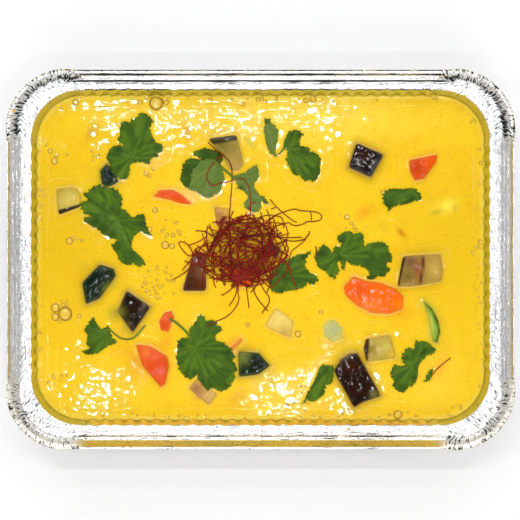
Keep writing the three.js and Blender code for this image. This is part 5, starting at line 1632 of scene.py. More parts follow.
# Where the surface is rough with tiny bubbles and coconut.
LIVELY = tuple(
    Dab(px, py, reach, stretch=stretch, turn=turn)
    for px, py, reach, stretch, turn in (
        (92, 118, 5, 2.5, 0), (118, 116, 5, 2.0, 0), (102, 128, 4, 1.5, 60), (58, 148, 5, 1.5, 0),
        (98, 151, 6, 1.6, 0), (180, 122, 7, 1.6, 0), (200, 118, 7, 1.5, 0), (226, 117, 6, 1.5, 0),
        (243, 132, 5, 1.5, 40), (260, 136, 5, 1.5, 90), (262, 118, 5, 2.0, 0), (290, 117, 6, 2.5, 0),
        (312, 128, 5, 1.5, 0), (350, 118, 5, 1.5, 0), (374, 120, 5, 1.5, 0), (302, 165, 4, 2, 60),
        (88, 367, 4, 3.0, 0), (112, 368, 6, 2.0, 0), (132, 392, 5, 2.0, 0), (170, 360, 4, 1.5, 0),
        (155, 385, 5, 2.0, 0), (285, 374, 7, 2.5, 0), (308, 366, 6, 1.6, 40), (352, 384, 5, 1.5, 0),
        (330, 345, 5, 1.5, 0), (240, 402, 6, 1.5, 0), (330, 402, 5, 1.5, 0), (365, 380, 4, 1.5, 0),
        (480, 357, 3, 1.5, 0), (40, 358, 3, 1.6, 90), (312, 205, 6, 1.8, 0), (355, 210, 9, 1.5, 20),
        (395, 230, 5, 1.5, 0), (372, 205, 6, 1.5, 0), (150, 245, 9, 1.5, 60), (160, 285, 9, 1.5, 0),
        (95, 232, 6, 1.5, 60), (310, 262, 5, 2.0, 60), (272, 305, 7, 2.0, 0), (390, 345, 5, 1.5, 0),
        (435, 325, 4, 2.0, 60), (400, 330, 5, 1.5, 0), (220, 236, 8, 1.5, 0), (445, 190, 5, 1.5, 0),
    )
)


@dataclass
class Sauce:
    """The curry: a body that fills the tray, with relief round everything that stands in it."""

    shape: TrayShape = TrayShape()
    edge_height: float = 34.3
    shelf_drop: float = 0.72  # of the shelf along the wall, under the edge
    leaf_dip: float = 0.12  # how far a leaf presses the sauce down
    clearance: float = 0.04
    cell: float = 0.6
    tint: Colour = srgb(246, 201, 34)
    leaf_shade: Colour = srgb(150, 150, 20)
    painted_edge_sheen: Colour = srgb(240, 214, 74)
    painted_edge_shade: Colour = srgb(166, 150, 30)
    mounds: tuple[tuple[float, float, float, float], ...] = (
        (-71.4, 55.5, 1.1, 7), (-31.8, 55.5, 1.1, 7), (-4.2, 50.9, 0.9, 6), (43.8, 19.8, 1.0, 6),
        (60, 12.1, 0.9, 6), (78.2, 22.3, 0.9, 6), (-82.4, -32.9, 1.3, 9), (-42.9, -33.8, 1.0, 7),
        (-8.9, -61.8, 1.2, 9), (46.4, -25.3, 0.8, 6), (16.6, -31.7, 0.9, 6), (-70.5, -50.8, 1.0, 9),
        (10.2, -45, 1.1, 8), (27.2, -38, 0.9, 6),
    )

    def base_height(self, x: Array, y: Array) -> Array:
        """Height of the open sauce: swellings, slow waves, fine relief and creep up the wall.

        Args:
            x: Places along the tray.
            y: Places across the tray.

        Returns:
            Heights.
        """
        z = LEVEL + 0.04 * (np.sin(x * 0.11 + 1.2) * np.cos(y * 0.13 - 0.4) + np.sin(x * 0.05 + y * 0.09))
        for mx, my, height, radius in self.mounds:
            z = z + 0.05 * height * np.exp(-((x - mx) ** 2 + (y - my) ** 2) / radius**2)
        z = z + 0.015 * patchy(x, y, 9, 21)
        wall = self.wall_gap(x, y) + 0.2 * patchy(x, y, 5, 28)
        shelf = self.edge_height - self.shelf_drop + 0.02 * patchy(x, y, 6, 24)
        z = z + (shelf - z) * ease(6.5, 2.5, wall)
        return z + (self.edge_height - z) * ease(1.2, 0.1, wall)

    def wall_gap(self, x: Array, y: Array) -> Array:
        """Distance from places of the plan to the wall.

        Args:
            x: Places along the tray.
            y: Places across the tray.

        Returns:
            Distances, positive inside.
        """
        size = self.shape.wall(self.edge_height)
        dx = np.abs(x) - (size.half_x - size.radius)
        dy = np.abs(y - self.shape.shift) - (size.half_y - size.radius)
        out = np.hypot(np.maximum(dx, 0), np.maximum(dy, 0))
        return np.where((dx > 0) & (dy > 0), size.radius - out, size.radius - np.maximum(dx, dy))

    def height(self, x: Array, y: Array) -> Array:
        """Height with the sauce drawn up round the pieces and the leaves.

        Args:
            x: Places along the tray.
            y: Places across the tray.

        Returns:
            Heights.
        """
        points = np.column_stack([x, y])
        z = self.base_height(x, y)
        for blade in BLADES:
            near, gap = close_to(points, blade.corners(), 6)
            z[near] -= self.leaf_dip * ease(1.1, 0.1, gap)
        for chunk in CHUNKS:
            near, gap = close_to(points, chunk.corners(), 7)
            top = chunk.top(points[near])
            film = np.clip(top - 0.45, z[near] - 0.3, z[near])
            z[near] += (film - z[near]) * ease(6.0, 2.0, gap)
            z[near] += (np.minimum(top - 0.3, z[near] + 0.6) - z[near]) * ease(0.9, 0.1, gap)
            z[near] += (top - 1.1 - z[near]) * ease(-0.4, -1.0, gap)
        return z

    def plan(self) -> tuple[Array, Array, int, int]:
        """Grid over the sauce, bent to the tray's round corners and flutes.

        Returns:
            The places along and across, and the numbers of columns and rows.
        """
        size = self.shape.wall(self.edge_height).grown(-self.clearance)
        columns = round(2 * size.half_x / self.cell) + 1
        rows = round(2 * size.half_y / self.cell) + 1
        u, v = np.meshgrid(np.linspace(-1, 1, columns), np.linspace(-1, 1, rows))
        x, y = u * size.half_x, v * size.half_y
        cx, cy = size.half_x - size.radius, size.half_y - size.radius
        a, b = np.maximum(np.abs(x) - cx, 0), np.maximum(np.abs(y) - cy, 0)
        pull = np.where((a > 0) & (b > 0), np.maximum(a, b) / np.maximum(np.hypot(a, b), 1e-9), 1.0)
        x = np.sign(x) * (np.minimum(np.abs(x), cx) + a * pull)
        y = np.sign(y) * (np.minimum(np.abs(y), cy) + b * pull)
        depth = self.shape.flute(self.edge_height)
        fade_x = ease(3.0, 0.0, size.half_x - np.abs(x)) * (np.abs(y) < cy)
        fade_y = ease(3.0, 0.0, size.half_y - np.abs(y)) * (np.abs(x) < cx)
        wave_x = depth * np.sin(np.pi * y / cy * self.shape.short_flutes)
        wave_y = depth * np.sin(np.pi * x / cx * self.shape.long_flutes)
        return (x + wave_x * fade_x).ravel(), (y - wave_y * fade_y + self.shape.shift).ravel(), columns, rows

    def nearest(self, points: Array) -> Array:
        """Distance from points to the nearest piece or leaf.

        Args:
            points: Points, of which the plan counts.

        Returns:
            Distances, 9 at the most.
        """
        most = 9.0
        best = np.full(len(points), most)
        for outlined in (*CHUNKS, *BLADES):
            near, gap = close_to(points, outlined.corners(), most)
            best[near] = np.minimum(best[near], gap)
        return best

    def tints(self, points: Array) -> Array:
        """Colours of the sauce: what lies in it shows through, with painted shade and sheen over broad areas,
        a painted sheen band just inside the wall and painted shade where it meets the wall.

        Args:
            points: Points of the sauce.

        Returns:
            One colour to a row.
        """
        tint = painted(self.tint, STAINS_SHADE_AND_SHEEN, points)
        for chunk in CHUNKS:
            near, gap = close_to(points, chunk.corners(), 5)
            most, fade = (0.7, 1.2) if chunk.kind in (Kind.ZUCCHINI, Kind.DARK_AUBERGINE) else (0.4, 0.9)
            halo = most * np.exp(-np.maximum(gap, 0) / fade)
            tint[near] = blend(tint[near], np.sqrt(np.array(chunk.base) * np.array(self.tint)), halo)
        for blade in BLADES:
            near, gap = close_to(points, blade.corners(), 3)
            tint[near] = blend(tint[near], self.leaf_shade, 0.3 * np.exp(-np.maximum(gap, 0) / 0.7))
        wall = self.wall_gap(points[:, 0], points[:, 1])
        # Painted sheen in a band just inside the wall, and painted shade where the sauce meets it.
        tint = blend(tint, self.painted_edge_sheen, 0.35 * ease(2.6, 1.2, wall))
        return blend(tint, self.painted_edge_shade, 0.6 * ease(0.9, 0.1, wall))

    def build(self, material: Material) -> Object:
        """Makes the sauce.

        Args:
            material: Its material.

        Returns:
            The finished piece.
        """
        x, y, columns, rows = self.plan()
        z = self.height(x, y)
        top = np.column_stack([x, y, z])
        grid = np.arange(columns * rows).reshape(rows, columns)
        rim = np.concatenate([grid[0, :-1], grid[:-1, -1], grid[-1, :0:-1], grid[:0:-1, 0]])
        points, faces = [top], [tuple(face) for face in grid_faces(rows, columns)]
        last, first, count = rim, len(top), len(rim)
        for depth in (28.0, 16.0, 4.2, 0.5):
            size = self.shape.wall(max(depth, 4.2)) if depth > 1 else self.shape.floor.grown(-0.3)
            full = self.shape.wall(self.edge_height)
            share_x, share_y = (size.half_x - 0.7) / full.half_x, (size.half_y - 0.7) / full.half_y
            ring = np.column_stack([
                x[rim] * share_x, (y[rim] - self.shape.shift) * share_y + self.shape.shift,
                np.full(count, depth),
            ])
            points.append(ring)
            here = np.arange(first, first + count)
            faces += [(here[i], here[(i + 1) % count], last[(i + 1) % count], last[i]) for i in range(count)]
            last, first = here, first + count
        faces.append(tuple(last[::-1]))
        everything = np.vstack(points)
        values = {
            "tint": self.tints(everything), "near": self.nearest(everything),
            "brim": np.minimum(self.wall_gap(everything[:, 0], everything[:, 1]), 12),
            "lively": np.max([dab.share(everything) for dab in LIVELY], axis=0),
        }
        made = make_object("curry_sauce", everything, faces, values)
        return finished(made, material, "sauce", "curry")


@dataclass
class Vegetables:
    """All the cut vegetables."""

    spacing: float = 0.5
    rough: float = 0.1  # unevenness of the cut faces
    taper: float = 0.05  # how much smaller a piece is at its bottom

    def mesh(self, chunk: Chunk) -> Object:
        """Makes one piece.

        Args:
            chunk: Its sizes and colours.

        Returns:
            The piece, not yet dressed.
        """
        outline = resampled(rounded(chunk.corners(), 3, 0.07), self.spacing)
        plan, triangles = filled(outline, self.spacing)
        gap = np.minimum(-distance_to(plan, outline), chunk.edge)
        gap[: len(outline)] = 0
        drop = chunk.edge - np.sqrt(np.maximum(chunk.edge**2 - (chunk.edge - gap) ** 2, 0))
        seed = sum(map(ord, chunk.node))
        z = chunk.top(plan) - drop + self.rough * (
            patchy(plan[:, 0], plan[:, 1], 2.6, seed) + 0.5 * patchy(plan[:, 0], plan[:, 1], 1.1, seed + 1)
        )
        cap = np.column_stack([plan, z])
        faces = [tuple(face) for face in triangles]
        points, last, count = [cap], np.arange(len(outline)), len(outline)
        first, bottom, middle = len(cap), LEVEL - chunk.sunk, outline.mean(0)
        for share in (0.12, 0.3, 0.6, 1.0):
            side = middle + (outline - middle) * (1 - self.taper * share)
            heights = cap[:count, 2] * (1 - share) + bottom * share
            points.append(np.column_stack([side, heights]))
            here = np.arange(first, first + count)
            faces += [(last[i], here[i], here[(i + 1) % count], last[(i + 1) % count]) for i in range(count)]
            last, first = here, first + count
        faces.append(tuple(last[::-1]))
        everything = np.vstack(points)
        paint = painted(chunk.base, chunk.dabs, everything)
        for x0, y0, x1, y1, width in chunk.skin:
            line = np.array([(x0, y0), (x1, y1)])
            share = ease(width + 0.35, width - 0.35, path_distance(everything[:, :2], line))
            paint = blend(paint, chunk.skin_colour, share)
        plain = chunk.kind is Kind.ZUCCHINI and not chunk.skin
        share, reach = (0.6, 1.6) if plain else (0.3, 0.9)
        film = share * ease(reach, 0.0, -distance_to(everything[:, :2], outline))
        paint = blend(paint, np.sqrt(paint * np.array(SAUCE_FILM)), film)
        values = {"paint": paint, "glint": spotted(chunk.glints, everything)}
        return make_object(f"{chunk.node}_piece", everything, faces, values)

    def build(self, finishes: Mapping[Kind, Material]) -> list[Object]:
        """Makes every piece.

        Args:
            finishes: The material of each kind.

        Returns:
            The finished pieces.
        """
        return [
            finished(self.mesh(chunk), finishes[chunk.kind], chunk.kind.value, chunk.node) for chunk in CHUNKS
        ]


class Ground:
    """Height of what lies under a place, seen from above."""

    def __init__(self, pieces: Iterable[Object]) -> None:
        """Takes the pieces that count.

        Args:
            pieces: The pieces.
        """
        self.trees = [
            BVHTree.FromPolygons(
                [v.co[:] for v in piece.data.vertices], [p.vertices[:] for p in piece.data.polygons]
            )
            for piece in pieces
        ]

    def add(self, piece: Object) -> None:
        """Counts one more piece."""
        self.trees += Ground([piece]).trees

    def heights(self, points: Array) -> Array:
        """Highest surface over points of the plan.

        Args:
            points: Points, of which the plan counts.

        Returns:
            Heights in millimetres; the level of the sauce where there is nothing.
        """
        best = np.full(len(points), LEVEL)
        above, down = 0.06, Vector((0, 0, -1))
        for tree in self.trees:
            for i, (x, y) in enumerate(points[:, :2]):
                hit = tree.ray_cast(Vector((x * MM, y * MM, above)), down)[0]
                if hit:
                    best[i] = max(best[i], hit.z / MM)
        return best


@dataclass
class Herbs:
    """The coriander leaves, serrated and veined, laid over what is under them."""

    ground: Ground
    spacing: float = 0.5
    thickness: float = 0.16
    tooth: float = 1.7  # distance between the teeth of the edge
    tooth_depth: float = 0.95
    clear: float = 0.14
    vein_width: float = 0.2
    vein_depth: float = 0.12
    lobe: float = 0.3  # least reach of a vein, by that of the longest

    def serrated(self, outline: Array, seed: int) -> Array:
        """Outline with the small teeth of a coriander leaf.

        Args:
            outline: Its plain outline, against the clock.
            seed: Which leaf.

        Returns:
            The toothed outline.
        """
        step = 0.24
        line = resampled(outline, step)
        along = np.roll(line, -3, axis=0) - np.roll(line, 3, axis=0)
        out = np.column_stack([along[:, 1], -along[:, 0]]) / np.maximum(np.hypot(*along.T), 1e-6)[:, None]
        run = np.arange(len(line)) * step
        count = max(3, round(run[-1] / self.tooth))
        phase = run / (run[-1] + step) * count + 0.3 * np.sin(run * 0.9 + seed)
        tip = 1 - (phase % 1) ** 1.6
        depth = self.tooth_depth * (0.7 + 0.3 * np.sin(run * 0.37 + seed))
        return line + out * (depth * (tip - 0.55))[:, None]

    def veins(self, outline: Array, base: Array) -> list[Array]:
        """Veins that run from a leaf's base to its lobes, with their branches.

        Args:
            outline: The leaf's plain outline.
            base: Where its veins meet.

        Returns:
            The veins as paths.
        """
        reach = np.hypot(*(outline - base).T)
        ahead, behind = np.roll(reach, -1), np.roll(reach, 1)
        tips = outline[(reach >= ahead) & (reach >= behind) & (reach > self.lobe * reach.max())]
        paths = []
        for tip in tips:
            way = tip - base
            length = np.hypot(*way)
            aside = np.array([-way[1], way[0]]) / length
            bend = 0.06 * length * math.sin(tip[0] * 3.1)
            main = np.array([base, base + 0.5 * way + aside * bend, tip])
            paths.append(main)
            for share in (0.35, 0.55, 0.75):
                for hand in (-1, 1):
                    start = base + share * way + aside * bend * 4 * share * (1 - share)
                    end = start + 0.3 * (1 - share * 0.5) * (way * 0.75 + hand * aside * length * 0.6)
                    paths.append(np.array([start, end]))
        return paths

    def blade(self, name: str, blade: Blade, wave: float) -> Object:
        """Makes one blade.

        Args:
            name: Name of the piece.
            blade: Its outline and which side shows.
            wave: Phase of its waves.

        Returns:
            The blade as a thin closed mesh.
        """
        plain = blade.corners()
        plan, triangles = filled(self.serrated(plain, len(plain)), self.spacing)
        base = np.array(VIEW.place(*blade.base))
        vein = np.zeros(len(plan))
        for path in self.veins(plain, base):
            main = len(path) == 3
            width = self.vein_width * (1.0 if main else 0.7)
            level = 1.0 if main else 0.6
            vein = np.maximum(vein, np.exp(-((path_distance(plan, path) / width) ** 2)) * level)
        x, y = plan.T
        rest = self.ground.heights(plan) + self.clear + blade.lift
        curl = 0.35 + 0.35 * np.sin(0.45 * x + 0.35 * y + wave) + 0.22 * patchy(x, y, 2.8, 51)
        z = rest + np.maximum(curl, 0) * ease(0.0, 3.0, -distance_to(plan, plain)) - self.vein_depth * vein
        z = self.settled(z, rest, triangles, len(plan))
        count = len(plan)
        way = plan - base
        rays = 0.5 + 0.5 * patchy(np.arctan2(way[:, 1], way[:, 0]) * 7, np.hypot(*way.T) / 5, 1.0, 61)
        marks = {"vein": vein, "pale": np.full(count, blade.side.value), "rays": rays}
        marks |= {"shade": spotted(blade.dark, plan), "wet": spotted(blade.wet, plan)}
        upper = np.column_stack([plan, z])
        lower = upper - np.array([0, 0, self.thickness])
        edge = self.border(triangles)
        faces = list(triangles) + [tuple(i + count for i in face[::-1]) for face in triangles]
        faces += [(b, a, a + count, b + count) for a, b in edge]
        values = {key: np.concatenate([value, value]) for key, value in marks.items()}
        return make_object(name, np.vstack([upper, lower]), faces, values)

    @staticmethod
    def settled(z: Array, rest: Array, triangles: list, count: int) -> Array:
        """Evens out heights without letting them sink into what is below.

        Args:
            z: Heights.
            rest: Lowest heights.
            triangles: Faces that join the points.
            count: Number of points.

        Returns:
            The settled heights.
        """
        faces = np.array(triangles)
        a = np.concatenate([faces[:, 0], faces[:, 1], faces[:, 2]])
        b = np.concatenate([faces[:, 1], faces[:, 2], faces[:, 0]])
        number = np.maximum(np.bincount(a, minlength=count), 1)
        rounds, own, around = 14, 0.4, 0.6
        for _ in range(rounds):
            mean = np.bincount(a, z[b], minlength=count) / number
            z = np.maximum(own * z + around * mean, rest)
        return z

    @staticmethod
    def border(triangles: list[tuple[int, ...]]) -> list[tuple[int, int]]:
        """Edges that belong to one triangle only."""
        edges = {(face[i], face[(i + 1) % 3]) for face in triangles for i in range(3)}
        return [(a, b) for a, b in edges if (b, a) not in edges]

    def stalk(self, name: str, sprig: Sprig) -> Object:
        """Makes a stalk along its path, on what is below.

        Args:
            name: Name of the piece.
            sprig: Whose stalk it is.

        Returns:
            The stalk as a plain mesh.
        """
        way = spline(VIEW.places(sprig.stalk), 0.8)
        z = self.ground.heights(way) + sprig.stem * 0.8
        made = tube_object(name, [np.column_stack([way, z])], sprig.stem, 8)
        for key, level in (("vein", 0.8), ("pale", 0.4), ("rays", 0.8), ("wet", 0.5)):
            layer = made.data.attributes.new(key, "FLOAT", "POINT")
            layer.data.foreach_set("value", [level] * len(made.data.vertices))
        return made

    def build(self, material: Material) -> list[Object]:
        """Makes every sprig.

        Args:
            material: The leaves' material.

        Returns:
            The finished pieces.
        """
        made = []
        for sprig in SPRIGS:
            parts = []
            for k, blade in enumerate(sprig.blades):
                part = self.blade(f"{sprig.node}_leaf_{k}", blade, sprig.wave + k)
                self.ground.add(part)
                parts.append(part)
            if sprig.stalk:
                parts.append(self.stalk(f"{sprig.node}_stalk", sprig))
            for part in parts:
                made.append(finished(part, material, "coriander", sprig.node))
        return made


class NodeTree(Nodes):
    """Geometry node tree that is built in the script."""

    def __init__(self, name: str, **sizes: float) -> None:
        """Starts a tree with a geometry input and named number inputs.

        Args:
            name: Name of the tree.
            **sizes: Its inputs and their values.
        """
        super().__init__(bpy.data.node_groups.new(name, "GeometryNodeTree"))
        sockets = self.tree.interface
        sockets.new_socket("Geometry", in_out="INPUT", socket_type="NodeSocketGeometry")
        self.sizes = {}
        for key, value in sizes.items():
            made = sockets.new_socket(key, in_out="INPUT", socket_type="NodeSocketFloat")
            self.sizes[made.identifier] = value
        sockets.new_socket("Geometry", in_out="OUTPUT", socket_type="NodeSocketGeometry")
        self.start = self.add("NodeGroupInput")
        self.end = self.add("NodeGroupOutput")

    def finish(self, geometry: NodeSocket, material: Material | None) -> None:
        """Ends the tree in Realize Instances and Set Material.

        Args:
            geometry: What comes out.
            material: Its material.
        """
        real = self.add("GeometryNodeRealizeInstances", inputs={"Geometry": geometry}).outputs[0]
        dressed = self.add("GeometryNodeSetMaterial", inputs={"Geometry": real, "Material": material})
        self.fill(self.end.inputs[0], dressed.outputs[0])

    def applied(self, name: str, mesh: Mesh) -> Object:
        """Runs the tree on a mesh and keeps the result as a plain mesh, smooth-shaded.

        Args:
            name: Name of the piece.
            mesh: What the tree starts from.

        Returns:
            The piece, in the scene and without modifiers.
        """
        made = linked(name, mesh)
        modifier = made.modifiers.new("nodes", "NODES")
        modifier.node_group = self.tree
        for identifier, value in self.sizes.items():
            modifier[identifier] = value
        evaluated = made.evaluated_get(bpy.context.evaluated_depsgraph_get())
        result = bpy.data.meshes.new_from_object(evaluated)
        made.modifiers.clear()
        made.data = result
        result.polygons.foreach_set("use_smooth", [True] * len(result.polygons))
        return made


def tube_object(
    name: str, paths: Sequence[Array], radius: float, sides: int = 5,
    shades: Sequence[float] | None = None, material: Material | None = None,
) -> Object:
    """Round strands along paths, made by nodes that sweep a circle along curves.

    Args:
        name: Name of the piece.
        paths: The strands' middle lines, in millimetres.
        radius: Their radius, in millimetres.
        sides: Sides of their section.
        shades: A number for each strand, kept as the value shade.
        material: Their material.

    Returns:
        The strands as one mesh.
    """
    points = np.vstack(paths)
    starts = np.cumsum([0] + [len(path) for path in paths])
    edges = [(i, i + 1) for a, b in zip(starts[:-1], starts[1:]) for i in range(a, b - 1)]
    mesh = bpy.data.meshes.new(name)
    mesh.from_pydata((points * MM).tolist(), edges, [])
    shade = mesh.attributes.new("shade", "FLOAT", "POINT")
    values = np.repeat(shades if shades is not None else [0.0] * len(paths), [len(path) for path in paths])
    shade.data.foreach_set("value", values)
    nodes = NodeTree(f"{name}_sweep", Radius=radius * MM)
    curve = nodes.add("GeometryNodeMeshToCurve", inputs={"Mesh": nodes.start.outputs[0]})
    circle = nodes.add("GeometryNodeCurvePrimitiveCircle", {"mode": "RADIUS"}, {
        "Resolution": sides, "Radius": nodes.start.outputs["Radius"],
    })
    sweep = nodes.add("GeometryNodeCurveToMesh", inputs={
        "Curve": curve.outputs[0], "Profile Curve": circle.outputs[0], "Fill Caps": True,
    })
    nodes.finish(sweep.outputs[0], material)
    return nodes.applied(name, mesh)


@dataclass
class ChilliNest:
    """The tangle of chilli threads on the middle of the sauce, and the two loose ones."""

    ground: Ground
    x: float = -8.0
    y: float = 3.5
    half_x: float = 17.0
    half_y: float = 13.5
    rise: float = 3.9
    threads: int = 144
    radius: float = 0.23
    step: float = 0.7  # between the points of a thread
    lengths: tuple[float, float] = (20, 62)  # in steps
    bends: tuple[float, float] = (9, 45)  # radii of the threads' bends
    waver: float = 0.018  # how much a thread's bend changes at a step
    free: int = 12  # steps that a thread may take outside the heap
    end: float = 1.18  # past which it ends, by the heap's size
    seed: int = 5
    strays: tuple[Plan, ...] = (  # in the camera's picture
        ((208, 142), (213, 147), (219, 152), (224, 155.5), (218, 158), (212, 165), (208, 171), (206.5, 176),
         (208, 181), (211, 185), (214, 185.5), (219, 183.5), (226, 182), (233, 180), (240, 178.5),
         (243, 178.5), (246, 182), (249, 188), (250, 195), (250.5, 203), (250.5, 212), (249, 220),
         (247, 228), (244, 240)),
        ((224, 156), (229, 161), (231.5, 167), (232, 172), (232, 180), (231.5, 190), (230.5, 200), (230, 210),
         (229, 220), (229, 228), (231, 240)),
        ((256, 202), (251, 204), (250, 210), (248, 216), (246, 232)),
        ((247, 212), (243, 218), (236, 221), (228, 222), (222, 236)),
        ((244, 230), (252, 221), (260, 217), (268, 215), (275, 215.5), (282, 218), (284, 228)),
        ((270, 199), (275, 205), (280, 210), (287, 216), (294, 221), (297, 222)),
        ((271, 209), (276, 207)),
        ((268, 220), (278, 214), (294, 209), (300, 210.5), (308, 211), (316, 212), (320.5, 214), (322, 217),
         (320, 220), (314, 221.5), (308, 221.5), (303, 224), (297, 225.5), (291, 224.5), (289, 222.5),
         (276, 226), (262, 230)),
        ((310.5, 212), (311.5, 216), (311.5, 220)),
        ((270, 222), (284, 224), (287, 229), (288, 235), (286, 241), (288, 247), (288.5, 252)),
        ((240, 238), (262, 236), (275, 236.5), (288, 237.5), (302, 237)),
        ((262, 226), (270, 233), (280, 238), (292, 241), (302, 240), (306, 238), (309.5, 233), (309, 231)),
        ((309.5, 234), (304, 241), (298, 246), (292, 251), (290, 256), (289, 262), (286, 272), (280, 279),
         (275, 285), (271, 288), (262, 280), (255, 268)),
        ((272, 252), (286, 262), (290, 272), (293, 280), (297, 290)),
        ((248, 274), (253, 287), (255, 294), (260, 302), (268, 311)),
        ((252, 268), (264, 290), (269, 297), (269, 303), (266, 308), (262, 313)),
        ((244, 270), (247, 292), (248, 300), (249, 308)),
        ((240, 272), (236, 293), (233, 300), (229, 306)),
        ((242, 262), (238, 290), (239, 298), (237, 305), (232, 312), (226, 317), (220, 320), (213, 323),
         (207, 327)),
        ((220, 246), (199, 247), (190, 256), (181, 248), (179, 242), (187, 244), (192.5, 256), (182, 270.5)),
        ((172.5, 280), (183, 273.5), (197.5, 262.5), (222, 250)),
    )
    loose: tuple[tuple[str, Plan, float, float], ...] = (  # with how red and how deep
        ("chilli_thread_short", ((315.5, 246), (316.5, 250), (316, 254), (314.5, 258)), 0.1, 0.0),
        ("chilli_thread_right", ((451, 358), (446, 362), (441, 366), (436, 371), (431, 377)), 1.0, 0.1),
    )

    def mound(self, way: Array) -> Array:
        """Height of the heap over places of the plan."""
        r2 = ((way[:, 0] - self.x) / self.half_x) ** 2 + ((way[:, 1] - self.y) / self.half_y) ** 2
        return self.rise * np.sqrt(np.maximum(1 - r2, 0)) * (1 - 0.25 * r2)

    def curl(self, rng: np.random.Generator) -> Array:
        """Way in plan of one thread that winds about in the heap.

        Args:
            rng: Source of random numbers.

        Returns:
            Its points in plan.
        """
        reach = np.array([self.half_x, self.half_y])
        angle, away = rng.uniform(0, 2 * math.pi), rng.uniform(0.3, 1.0)
        spot = np.array([self.x, self.y]) + reach * away * np.array([math.cos(angle), math.sin(angle)])
        sense = rng.choice((-1, 1))
        heading = angle + sense * math.pi / 2 + rng.normal(0, 0.8)
        bend, wander = sense * self.step / rng.uniform(*self.bends), 0.0
        way = [spot]
        for k in range(int(rng.uniform(*self.lengths))):
            wander = 0.9 * wander + rng.normal(0, self.waver)
            heading += bend + wander
            spot = spot + self.step * np.array([math.cos(heading), math.sin(heading)])
            if k > self.free and np.hypot(*((spot - (self.x, self.y)) / reach)) > self.end:
                break
            way.append(spot)
        return np.array(way)

    def lifted(self, way: Array, share: float) -> Array:
        """A thread's way with its heights, some way up the heap.

        Args:
            way: Its points in plan.
            share: How far up in the heap it lies, 0 to 1.

        Returns:
            Its points.
        """
        under = self.ground.heights(way) + self.radius * 0.9
        smooth = np.convolve(np.pad(under, 3, mode="edge"), np.ones(7) / 7, mode="valid")
        base = np.maximum(under, smooth)
        low = 0.25
        heap = LEVEL + self.mound(way) * (low + (1 - low) * share) + self.radius
        return np.column_stack([way, np.maximum(base, heap)])

    def build(self, material: Material) -> list[Object]:
        """Makes the threads.

        Args:
            material: Their material.

        Returns:
            The finished pieces.
        """
        rng = np.random.default_rng(self.seed)
        paths = [self.lifted(spline(VIEW.places(path), 0.8), rng.uniform(0, 0.5)) for path in self.strays]
        paths += [self.lifted(self.curl(rng), rng.uniform(0, 1)) for _ in range(self.threads)]
        shades = rng.uniform(0, 1, len(paths))
        nest = tube_object("chilli_thread_nest", paths, self.radius, 5, shades, material)
        made = [finished(nest, material, "chilli", "chilli_nest")]
        for name, path, red, deep in self.loose:
            strand = self.lifted(spline(VIEW.places(path), 0.6), 0.0) - np.array([0, 0, deep])
            thread = tube_object(f"{name}_strand", [strand], self.radius, 6, [red], material)
            made.append(finished(thread, material, "chilli", name))
        return made


# ---- Small things on the sauce --------------------------------------------------


